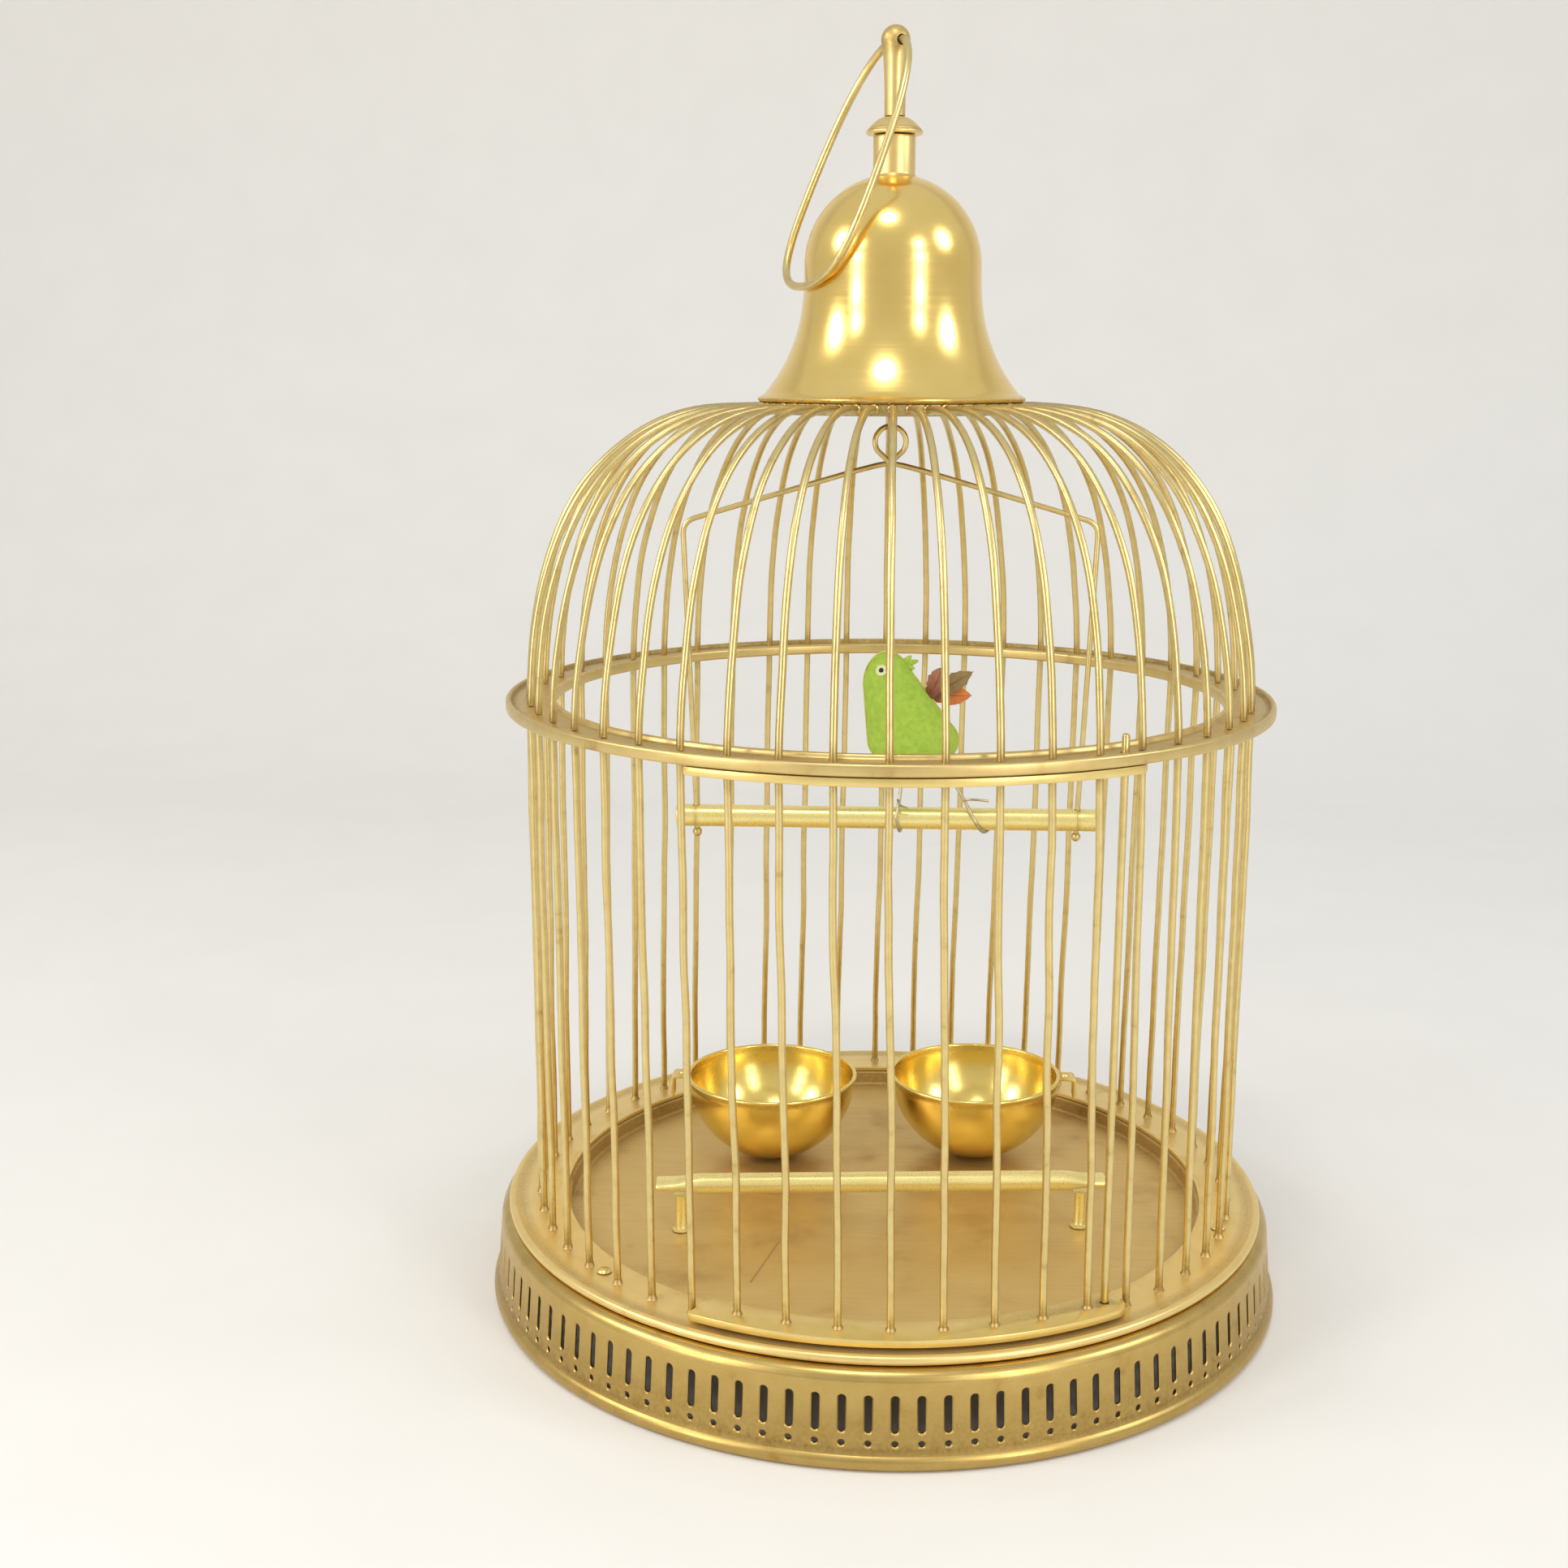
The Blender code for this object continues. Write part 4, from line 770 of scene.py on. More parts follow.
class Tree:
    """A geometry tree with named inputs that a mesh is grown through."""

    def __init__(self, name: str) -> None:
        """Starts the tree.

        Args:
            name: the tree's name.
        """
        self.group = bpy.data.node_groups.new(name, "GeometryNodeTree")
        self.keys: dict[str, str] = {}
        for way in ("OUTPUT", "INPUT"):
            self.group.interface.new_socket("Geometry", in_out=way, socket_type="NodeSocketGeometry")
        self.node = partial(add_node, self.group)
        self.source = self.node("NodeGroupInput")

    def ask(self, label: str, kind: str = "Float") -> NodeSocket:
        """Adds a named input.

        Args:
            label: the input's name.
            kind: Float, Int or Material.

        Returns:
            The socket to link from.
        """
        socket = self.group.interface.new_socket(label, in_out="INPUT", socket_type=f"NodeSocket{kind}")
        self.keys[label] = socket.identifier
        return self.source.outputs[label]

    def close(self, geometry: Node) -> None:
        """Realizes the result, shades it smooth, gives it the asked material and ends the tree.

        Args:
            geometry: the node that gives the result.
        """
        whole = self.node("GeometryNodeRealizeInstances", {"Geometry": geometry})
        merged = self.node("GeometryNodeMergeByDistance", {"Geometry": whole, "Distance": self.ask("Merge")})
        smooth = self.node("GeometryNodeSetShadeSmooth", {"Geometry": merged})
        dressed = {"Geometry": smooth, "Material": self.ask("Material", "Material")}
        self.node("NodeGroupOutput", {0: self.node("GeometryNodeSetMaterial", dressed)})

    def grow(self, name: str, seed_mesh: Mesh, **values: object) -> Mesh:
        """Grows a mesh through the tree.

        Args:
            name: the new mesh's name.
            seed_mesh: the mesh that goes in; it is removed.
            **values: the inputs' values by name, with an underscore for a space.

        Returns:
            The plain mesh that comes out.
        """
        carrier = bpy.data.objects.new(name, seed_mesh)
        bpy.context.scene.collection.objects.link(carrier)
        modifier = carrier.modifiers.new(self.group.name, "NODES")
        modifier.node_group = self.group
        for label, value in values.items():
            modifier[self.keys[label.replace("_", " ")]] = value
        carrier.update_tag()
        graph = bpy.context.evaluated_depsgraph_get()
        mesh = bpy.data.meshes.new_from_object(carrier.evaluated_get(graph))
        bpy.data.objects.remove(carrier)
        bpy.data.meshes.remove(seed_mesh)
        mesh.name = name
        return mesh


def turned_places(tree: Tree) -> dict:
    """Adds the points of a circle and the turn of each.

    Args:
        tree: the tree, which is asked for Count, First, Step, Phase, Radius and Height.

    Returns:
        The points, their turns and the form to copy, as the inputs of Instance on Points.
    """
    index = tree.node("GeometryNodeInputIndex")
    number = tree.node("ShaderNodeMath", {0: index, 1: tree.ask("First", "Int")})
    turn = {0: number, 1: tree.ask("Step"), 2: tree.ask("Phase")}
    angle = tree.node("ShaderNodeMath", turn, operation="MULTIPLY_ADD")
    away = tree.ask("Radius")
    sine = tree.node("ShaderNodeMath", {0: angle}, operation="SINE")
    cosine = tree.node("ShaderNodeMath", {0: angle}, operation="COSINE")
    x = tree.node("ShaderNodeMath", {0: sine, 1: away}, operation="MULTIPLY")
    y = tree.node("ShaderNodeMath", {0: cosine, 1: away}, operation="MULTIPLY")
    front = tree.node("ShaderNodeMath", {0: y, 1: -1.0}, operation="MULTIPLY")
    spot = tree.node("ShaderNodeCombineXYZ", {"X": x, "Y": front, "Z": tree.ask("Height")})
    points = tree.node("GeometryNodePoints", {"Count": tree.ask("Count", "Int"), "Position": spot})
    rotation = tree.node("FunctionNodeEulerToRotation", {0: tree.node("ShaderNodeCombineXYZ", {"Z": angle})})
    return {"Points": points, "Instance": tree.source, "Rotation": rotation}


def ring_tree() -> Tree:
    """Builds the tree that sets copies of a form round a circle.

    Returns:
        The tree, which asks for Spread, how unequal the copies are, and Seed.
    """
    tree = Tree("round_a_circle")
    copies = turned_places(tree)
    spread = tree.ask("Spread")
    least = tree.node("ShaderNodeMath", {0: 1.0, 1: spread}, operation="SUBTRACT")
    most = tree.node("ShaderNodeMath", {0: 1.0, 1: spread}, operation="ADD")
    limits = {2: least, 3: most, "Seed": tree.ask("Seed", "Int")}
    copies["Scale"] = tree.node("FunctionNodeRandomValue", limits, data_type="FLOAT").outputs[1]
    tree.close(tree.node("GeometryNodeInstanceOnPoints", copies))
    return tree


def wire_tree() -> Tree:
    """Builds the tree that sets copies of a line round a circle and sweeps each into a wire.

    Returns:
        The tree, which asks for Thickness, Sides, Waver, how far a wire strays, and Bend, over what length.
    """
    tree = Tree("wires_round_a_circle")
    lines = tree.node("GeometryNodeInstanceOnPoints", turned_places(tree))
    whole = tree.node("GeometryNodeRealizeInstances", {"Geometry": lines})
    scale = tree.node("ShaderNodeMath", {0: 1.0, 1: tree.ask("Bend")}, operation="DIVIDE")
    field_of = {"Vector": tree.node("GeometryNodeInputPosition"), "Scale": scale, "Detail": 1.0}
    drift = tree.node("ShaderNodeTexNoise", field_of | {"W": tree.ask("Seed")}, noise_dimensions="4D")
    offset = {0: drift.outputs["Color"], 1: (0.5, 0.5, 0.5)}
    centred = tree.node("ShaderNodeVectorMath", offset, operation="SUBTRACT")
    loose = tree.node("GeometryNodeInputNamedAttribute", {"Name": "loose"}, data_type="FLOAT")
    reach = tree.node("ShaderNodeMath", {0: loose, 1: tree.ask("Waver")}, operation="MULTIPLY")
    stray = tree.node("ShaderNodeVectorMath", {0: centred, "Scale": reach}, operation="SCALE")
    bent = tree.node("GeometryNodeSetPosition", {"Geometry": whole, "Offset": stray})
    curve = tree.node("GeometryNodeMeshToCurve", {"Mesh": bent})
    ring = {"Resolution": tree.ask("Sides", "Int"), "Radius": tree.ask("Thickness")}
    section = tree.node("GeometryNodeCurvePrimitiveCircle", ring, mode="RADIUS")
    swept_line = {"Curve": curve, "Profile Curve": section, "Fill Caps": True}
    tree.close(tree.node("GeometryNodeCurveToMesh", swept_line))
    return tree


def fuzz_tree() -> Tree:
    """Builds the tree that stands short fibres on a skin.

    Returns:
        The tree, which asks for Density, Length, Thickness, Lean in radians and Seed.
    """
    tree = Tree("fibres_on_a_skin")
    seed = tree.ask("Seed", "Int")
    scatter = {"Mesh": tree.source, "Density": tree.ask("Density"), "Seed": seed}
    spots = tree.node("GeometryNodeDistributePointsOnFaces", scatter, distribute_method="RANDOM")
    cone = {"Vertices": 3, "Radius Top": 0.0, "Radius Bottom": tree.ask("Thickness")}
    cone |= {"Depth": tree.ask("Length")}
    fibre = tree.node("GeometryNodeMeshCone", cone, fill_type="NONE")
    lean = tree.ask("Lean")
    other = tree.node("ShaderNodeMath", {0: lean, 1: -1.0}, operation="MULTIPLY")
    low = tree.node("ShaderNodeCombineXYZ", {"X": other, "Y": other})
    high = tree.node("ShaderNodeCombineXYZ", {"X": lean, "Y": lean})
    tilt = tree.node("FunctionNodeRandomValue", {0: low, 1: high, "Seed": seed}, data_type="FLOAT_VECTOR")
    turn = tree.node("FunctionNodeEulerToRotation", {0: tilt})
    upright = {"Rotation": spots.outputs["Rotation"], "Rotate By": turn}
    rotation = tree.node("FunctionNodeRotateRotation", upright, rotation_space="LOCAL")
    sizes = tree.node("FunctionNodeRandomValue", {2: 0.4, 3: 1.0, "Seed": seed}, data_type="FLOAT")
    copies = {"Points": spots, "Instance": fibre, "Rotation": rotation, "Scale": sizes.outputs[1]}
    tree.close(tree.node("GeometryNodeInstanceOnPoints", copies))
    return tree


def stitch_tree() -> Tree:
    """Builds the tree that lays stitches along a line.

    Returns:
        The tree, which asks for Spacing, Length, Thickness and Slant in radians.
    """
    tree = Tree("stitches_on_a_line")
    curve = tree.node("GeometryNodeMeshToCurve", {"Mesh": tree.source})
    rows = {"Curve": curve, "Length": tree.ask("Spacing")}
    spots = tree.node("GeometryNodeCurveToPoints", rows, mode="LENGTH")
    ball = tree.node("GeometryNodeMeshUVSphere", {"Segments": 6, "Rings": 5, "Radius": 1.0})
    thick = tree.ask("Thickness")
    shape = tree.node("ShaderNodeCombineXYZ", {"X": thick, "Y": thick, "Z": tree.ask("Length")})
    stitch = tree.node("GeometryNodeTransform", {"Geometry": ball, "Scale": shape})
    slant = tree.node("ShaderNodeCombineXYZ", {"Y": tree.ask("Slant")})
    turn = tree.node("FunctionNodeEulerToRotation", {0: slant})
    laid = {"Rotation": spots.outputs["Rotation"], "Rotate By": turn}
    rotation = tree.node("FunctionNodeRotateRotation", laid, rotation_space="LOCAL")
    copies = {"Points": spots, "Instance": stitch, "Rotation": rotation}
    tree.close(tree.node("GeometryNodeInstanceOnPoints", copies))
    return tree


def settle(mesh: Mesh) -> Mesh:
    """Turns the faces of a grown mesh outwards and marks its sharp edges.

    Args:
        mesh: the mesh, which is changed.

    Returns:
        The same mesh.
    """
    bm = bmesh.new()
    bm.from_mesh(mesh)
    bmesh.ops.recalc_face_normals(bm, faces=bm.faces)
    bm.to_mesh(mesh)
    bm.free()
    mesh.shade_smooth()
    mesh.set_sharp_from_angle(angle=SMOOTH_ANGLE)
    return mesh


class Trees:
    """The trees, each built once."""

    def __init__(self) -> None:
        """Builds the trees."""
        self.ring = ring_tree()
        self.wires = wire_tree()
        self.fuzz = fuzz_tree()
        self.stitches = stitch_tree()


# The base


@dataclass
class Base:
    """The pierced round base: skirt, tray, foot ring and the screws that hold them together."""

    looks: Finishes
    trees: Trees
    foot_r: float = 145.7 * MM
    bead_r: float = 3.0 * MM
    low_r: float = 147.0 * MM
    high_r: float = 145.2 * MM
    shoulder_r: float = 4.7 * MM
    top: float = 33.2 * MM
    ledge_r: float = 122.5 * MM
    sheet: float = 1.0 * MM
    slots: int = 108
    slot_phase_deg: float = 2.1
    slot_half: float = 1.2 * MM
    slot_low: float = 12.8 * MM
    slot_high: float = 25.2 * MM
    slot_margin: float = 1.6 * MM
    hole_z: float = 9.3 * MM
    hole_r: float = 1.0 * MM
    hole_margin: float = 1.9 * MM
    flare: float = 0.42 * MM
    tray_r: float = 137.0 * MM
    tray_top: float = 34.7 * MM
    tray_sheet: float = 1.2 * MM
    well_r: float = 119.0 * MM
    dent: float = 0.35 * MM
    ring_low: float = 35.0 * MM
    ring_top: float = 36.2 * MM
    ring_inner_r: float = 120.2 * MM
    ring_outer_r: float = 142.2 * MM
    ring_bead_r: float = 1.7 * MM
    screws: int = 3
    screw_circle_r: float = 128.5 * MM
    screw_first_deg: float = -47.75
    screw_r: float = 1.2 * MM
    screw_hole_r: float = 1.5 * MM
    screw_head_r: float = 2.6 * MM
    screw_head_h: float = 1.5 * MM
    screw_turn_rad: float = 0.7

    def wall_r(self, z: float) -> float:
        """Gives the skirt wall's outer radius at a height."""
        share = (z - 2.0 * self.bead_r) / (self.top - self.shoulder_r - 2.0 * self.bead_r)
        return self.low_r + (self.high_r - self.low_r) * share

    def above(self) -> Loop:
        """Gives the skirt's section from the slots' top, over the shoulder and the ledge, back inside.

        Returns:
            The (radius, height) points.
        """
        start = self.slot_high + self.slot_margin
        middle = (self.high_r - self.shoulder_r, self.top - self.shoulder_r)
        edge = [(self.ledge_r + 0.4 * self.sheet, self.top), (self.ledge_r, self.top - 0.4 * self.sheet)]
        edge += [(self.ledge_r, self.top - self.sheet)]
        outer = [(self.wall_r(start), start)] + arc(middle, self.shoulder_r, 0.0, 90.0, 8)
        inner = arc(middle, self.shoulder_r - self.sheet, 90.0, 0.0, 5)
        return outer + edge + inner + [(self.wall_r(start) - self.sheet, start)]

    def below(self) -> Loop:
        """Gives the skirt's section from under the small holes, round the foot's bead, back inside.

        Returns:
            The (radius, height) points.
        """
        start = self.hole_z - self.hole_margin
        bead = (self.foot_r, self.bead_r)
        fillet = [(self.wall_r(start), start), (self.foot_r + 1.6 * MM, 6.2 * MM)]
        outer = arc(bead, self.bead_r, 55.0, -75.0, 9)
        inner = arc(bead, self.bead_r, 255.0, 130.0, 5)
        return fillet + outer + inner + [(self.wall_r(start) - self.sheet, start)]

    def panel(self) -> Mesh:
        """Builds the slice of skirt that holds one slot and one small hole.

        Returns:
            The open slice, at azimuth 0.
        """
        half = 180.0 / self.slots
        azimuths = [half * (i / 2.0 - 1.0) for i in range(5)]
        bm = bmesh.new()

        def row(r: float, z: float) -> list[BMVert]:
            """Adds the vertices of one height."""
            return [bm.verts.new(polar(r, a, z)) for a in azimuths]

        def join(low: list[BMVert], high: list[BMVert]) -> None:
            """Adds the faces between two loops of the same count, left open at their ends."""
            for i in range(len(low) - 1):
                bm.faces.new((low[i], low[i + 1], high[i + 1], high[i]))

        over = [row(r, z) for r, z in self.above()]
        under = [row(r, z) for r, z in self.below()]
        for rows in (over, under):
            for low, high in zip(rows, rows[1:]):
                join(low, high)
        split = (self.hole_z + self.hole_margin + self.slot_low - self.slot_margin) / 2.0
        low_end = self.slot_low + self.slot_half
        high_end = self.slot_high - self.slot_half
        walls = []
        for depth, top, bottom in ((0.0, over[0], under[0]), (self.sheet, over[-1], under[-1])):
            mid = row(self.wall_r(split) - depth, split)
            sides = [
                [bm.verts.new(polar(self.wall_r(z) - depth, side * half, z)) for z in (low_end, high_end)]
                for side in (-1.0, 1.0)
            ]
            slot_frame = [sides[0][0], *mid, sides[1][0], sides[1][1], *top[::-1], sides[0][1]]
            hole_frame = [*bottom, *mid[::-1]]
            slot_rims, hole_rims = [], []
            for wide, deep in ((self.flare, 0.0), (0.0, self.flare)) if depth == 0.0 else ((0.0, 0.0),):
                slot = arc((0.0, low_end), self.slot_half + wide, 180.0, 360.0, 6)
                slot += arc((0.0, high_end), self.slot_half + wide, 0.0, 180.0, 6)
                hole = arc((0.0, self.hole_z), self.hole_r + wide, 198.0, 342.0, 4)
                hole += arc((0.0, self.hole_z), self.hole_r + wide, 18.0, 162.0, 4)
                for outline, rims in ((slot, slot_rims), (hole, hole_rims)):
                    rim = []
                    for u, z in outline:
                        r = self.wall_r(z) - depth
                        rim.append(bm.verts.new(polar(r - deep, degrees(u / r), z)))
                    rims.append(rim)
            for frame_loop, rims in ((slot_frame, slot_rims), (hole_frame, hole_rims)):
                for low, high in zip([frame_loop] + rims, rims):
                    join(low + low[:1], high + high[:1])
            walls.append((slot_rims[-1], hole_rims[-1]))
        for outside, inside in zip(*walls):
            join(outside + outside[:1], inside + inside[:1])
        mesh = bpy.data.meshes.new("panel")
        bm.to_mesh(mesh)
        bm.free()
        return mesh

    def build_skirt(self) -> None:
        """Turns the slice into the whole skirt."""
        mesh = self.trees.ring.grow(
            "base_skirt_brass", self.panel(), Count=self.slots, Step=2.0 * pi / self.slots,
            Phase=radians(self.slot_phase_deg), Merge=0.02 * MM, Material=self.looks.skirt,
        )
        # Painted shade with tarnish: darker in a thin band just above the foot's bead, and broadly over the
        # lower skirt, most at the slots' feet.
        place(
            settle(mesh), "cage", "brass", ["base_skirt"],
            grime_and_shade=lambda p: 0.6 * near(p.z, 7.0 * MM, 1.6 * MM) + 0.40 * near(p.z, 12.0 * MM, 15.0 * MM),
        )

    def build_tray(self) -> None:
        """Builds the dished tray, a little uneven as thin sheet is."""
        under = FLOOR - self.tray_sheet
        low_r, high_r = 1.2 * MM, 0.8 * MM
        profile = [(self.well_r * i / 40.0, FLOOR) for i in range(39)]
        profile += arc((self.well_r - low_r, FLOOR + low_r), low_r, -90.0, 0.0, 4)
        profile += arc((self.well_r + high_r, self.tray_top - high_r), high_r, 180.0, 90.0, 3)
        profile += [(self.tray_r, self.tray_top), (self.tray_r, self.tray_top - self.tray_sheet)]
        wall = self.well_r + self.tray_sheet
        profile += [(wall, self.tray_top - self.tray_sheet), (wall, under + 1.0 * MM)]
        mesh = turned("tray_sheet", profile + [(self.well_r, under), (0.0, under)])
        for vert in mesh.vertices:
            inside = max(0.0, 1.0 - vert.co.xy.length / self.well_r)
            vert.co.z += self.dent * min(1.0, 4.0 * inside) * noise.noise(vert.co * 28.0)
        # Painted shadow of the well's step: the floor darkens within 7 mm of the well's edge.
        place(
            mesh, "cage", "tarnished_brass", ["floor_tray"], self.looks.tray,
            lambda p: 0.75 * near(p.xy.length, self.well_r, 7.0 * MM),
        )

    def build_foot_ring(self) -> None:
        """Builds the flat ring that the wires stand in, with its rolled bead."""
        bead_r = self.ring_bead_r
        bead = (self.ring_outer_r - bead_r, self.tray_top - self.tray_sheet + bead_r)
        profile = [(self.ring_inner_r, self.ring_low), (self.ring_inner_r, self.ring_top)]
        profile += arc((self.ring_inner_r + 0.9 * MM, self.ring_top - 0.6 * MM), 0.9 * MM, 130.0, 50.0, 4)
        profile += [(self.ring_inner_r + step * MM, self.ring_top) for step in (2.2, 6.0, 10.0, 14.0)]
        profile += [(self.tray_r + 0.3 * MM, self.ring_top)]
        profile += arc(bead, bead_r, 130.0, -130.0, 12) + [(self.tray_r + 0.9 * MM, self.ring_low)]
        turn = 360.0 / self.screws
        azimuths = [self.screw_first_deg + turn * i for i in range(self.screws)]
        spots = [(self.screw_circle_r, azimuth, self.screw_hole_r) for azimuth in azimuths]
        spots.append((WIRE_CIRCLE_R, PIVOT_DEG, PIVOT_HOLE_R))
        holes = [(polar(r, a, 30.0 * MM), polar(r, a, 40.0 * MM), hole_r) for r, a, hole_r in spots]
        # Painted shade with tarnish: darker in the crease on the inner side of the rolled bead, over the
        # tray's edge.
        place(
            drill(turned("foot_ring_brass", profile), holes, 16), "cage", "brass", ["bottom_ring"],
            self.looks.flange, lambda p: 0.8 * near(p.xy.length, self.tray_r + 1.2 * MM, 2.0 * MM),
        )

    def build_screws(self) -> None:
        """Builds the domed screws with a slot in each head."""
        seat = self.ring_top + GAP
        end = self.top - 3.0 * self.sheet
        profile = [(0.0, end), (self.screw_r, end), (self.screw_r, seat), (self.screw_head_r, seat)]
        profile += [(self.screw_head_r + 0.1 * MM, seat + 0.2 * MM)]
        profile += arc((0.0, seat - 1.6 * MM), 3.1 * MM, 35.0, 90.0, 5)[:-1]
        profile += [(0.0, seat + self.screw_head_h)]
        slot = bmesh.new()
        half_x, half_y = 4.0 * MM, 0.35 * MM
        corners = [(-half_x, -half_y), (half_x, -half_y), (half_x, half_y), (-half_x, half_y)]
        add_plate(slot, [Vector((x, y, seat + 0.9 * MM)) for x, y in corners], UP * (2.0 * MM))
        bmesh.ops.rotate(slot, verts=slot.verts, matrix=Matrix.Rotation(self.screw_turn_rad, 3, "Z"))
        mesh = self.trees.ring.grow(
            "ring_screw_heads", cut(turned("screw", profile, 24), slot), Count=self.screws,
            Step=2.0 * pi / self.screws, Phase=radians(self.screw_first_deg), Radius=self.screw_circle_r,
            Material=self.looks.brass,
        )
        nodes = [f"ring_screw_{i + 1}" for i in range(self.screws)]
        place(settle(mesh), "cage", "polished_brass", nodes)

    def build(self) -> None:
        """Builds the whole base."""
        self.build_skirt()
        self.build_tray()
        self.build_foot_ring()
        self.build_screws()


# The cage of wires


@dataclass
class Cage:
    """The mid ring, the crown ring and the wires that stand between them.

    The two handles pull the dome's curve out from the mid ring and in to the crown ring.
    """

    looks: Finishes
    trees: Trees
    phase_deg: float = 1.0
    foot_twist_deg: float = 0.6
    wire_r: float = 1.25 * MM
    foot: float = 36.5 * MM
    seat: float = 36.2 * MM
    ring_low: float = 222.6 * MM
    ring_top: float = 226.7 * MM
    ring_web: float = 2.5 * MM
    ring_outer_r: float = 138.4 * MM
    ring_inner_r: float = 120.5 * MM
    lip: float = 2.2 * MM
    edge_r: float = 0.8 * MM
    crown_inner_r: float = 40.0 * MM
    crown_outer_r: float = 46.2 * MM
    crown_low: float = 326.0 * MM
    crown_top: float = 330.0 * MM
    low_handle: Pair = (127.0 * MM, 302.0 * MM)
    high_handle: Pair = (94.0 * MM, 333.0 * MM)
    first_wire: int = 5
    upright_count: int = 40
    upright_waver: float = 2.0 * MM
    dome_waver: float = 1.8 * MM
    bead_r: float = 1.9 * MM
    bend: float = 45.0 * MM

    def build_mid_ring(self) -> None:
        """Builds the pressed flat ring with its two raised lips."""
        web = self.ring_low + self.ring_web
        edge_r, lip_r = self.edge_r, self.lip / 2.0
        outer = arc((self.ring_outer_r - edge_r, self.ring_low + edge_r), edge_r, -90.0, 0.0, 3)
        outer += arc((self.ring_outer_r - lip_r, self.ring_top - lip_r), lip_r, 0.0, 180.0, 8)
        outer += [(self.ring_outer_r - self.lip - step * MM, web) for step in (0.5, 2.0)]
        middle = (self.ring_outer_r + self.ring_inner_r) / 2.0
        profile = outer + [(2.0 * middle - r, z) for r, z in reversed(outer)]
        ends = [polar(WIRE_CIRCLE_R, PIVOT_DEG, z) for z in (220.0 * MM, 230.0 * MM)]
        inside = self.ring_outer_r - self.lip
        # Painted shade with tarnish: darker in the channel inside the outer lip and along the web.
        place(
            drill(turned("mid_ring_band", profile, 2 * FINE), [(*ends, PIVOT_HOLE_R)], 16), "cage",
            "tarnished_brass", ["mid_ring"], self.looks.ring,
            lambda p: 0.7 * near(p.xy.length, inside, 1.6 * MM) + 0.3 * near(p.z, web, 0.5 * MM),
        )

    def guide(self, name: str, points: list[Vector], ends: float) -> Mesh:
        """Makes a line for the wire tree, held still at its ends.

        Args:
            name: the line's name.
            points: its points.
            ends: the share of the line that is held at each end.

        Returns:
            The line's mesh.
        """
        mesh = polyline(name, points)
        last = len(points) - 1
        layer = mesh.attributes.new("loose", "FLOAT", "POINT")
        layer.data.foreach_set("value", [min(1.0, min(i, last - i) / (ends * last)) for i in range(last + 1)])
        return mesh

    def sweep(self, name: str, line: Mesh, first: int, count: int, seed: float, waver: float) -> Mesh:
        """Sweeps a line at azimuth 0 into a row of wires that stray by the waver."""
        return self.trees.wires.grow(
            name, line, Count=count, First=first, Step=WIRE_STEP, Phase=radians(self.phase_deg), Seed=seed,
            Bend=self.bend, Waver=waver, Sides=12, Thickness=self.wire_r, Material=self.looks.wire,
        )

    def stud(
        self, form: Mesh, body: str, nodes: list[str], first: int, count: int, twist_deg: float,
        radius: float = WIRE_CIRCLE_R, **values: object,
    ) -> None:
        """Sets one copy of a form on each wire, as a piece.

        Args:
            form: the form, which gives the piece its name.
            body: the body that it rides on.
            nodes: the solids that it stands for.
            first: the number of the first wire.
            count: how many wires get one.
            twist_deg: how much further round than the wires' middle it sits.
            radius: its distance from the middle line.
            **values: more of the ring tree's inputs; the material is solder if none is given.
        """
        turn = radians(self.phase_deg + twist_deg)
        inputs = {"Material": self.looks.solder} | values
        mesh = self.trees.ring.grow(
            form.name, form, First=first, Count=count, Step=WIRE_STEP, Phase=turn, Radius=radius, **inputs
        )
        place(settle(mesh), body, "wire_brass", nodes)

    def upright(self, low: float, high: float) -> list[Vector]:
        """Gives the line of an upright wire, whose foot stands a little further round than its top."""
        turns = [(self.foot_twist_deg * (1.0 - i / 12.0), low + (high - low) * i / 24.0) for i in range(25)]
        return [polar(WIRE_CIRCLE_R, azimuth, z) for azimuth, z in turns]

    def build_uprights(self) -> None:
        """Builds the upright wires and the dabs of solder at their feet and tops."""
        line = self.guide("upright", self.upright(self.foot, self.ring_low + 1.0 * MM), 0.15)
        # Painted shade with tarnish: the wires darken towards their feet and just under the mid ring.
        place(
            self.sweep("upright_wires", line, self.first_wire, self.upright_count, 3.7, self.upright_waver),
            "cage", "wire_brass", ["mid_ring"],
            grime_and_shade=lambda p: 0.9 * near(p.z, self.foot, 9.0 * MM) + 0.5 * near(p.z, self.ring_low, 5.0 * MM),
        )
        twist = self.foot_twist_deg
        dabs = [("foot_solder", self.seat, twist, 1.6 * MM)]
        dabs += [("ring_solder", self.ring_low, -twist, -1.1 * MM)]
        for name, seat, turn, tall in dabs:
            profile = [(0.0, seat), (1.9 * MM, seat), (1.6 * MM, seat + 0.3 * tall), (1.3 * MM, seat + tall)]
            dab = turned(name, profile + [(0.0, seat + tall)], 14)
            for vert in dab.vertices:
                vert.co += Vector((1.0, 1.0, 0.0)) * 0.25 * MM * noise.noise(vert.co * 900.0)
            self.stud(dab, "cage", ["mid_ring"], self.first_wire, self.upright_count, turn)

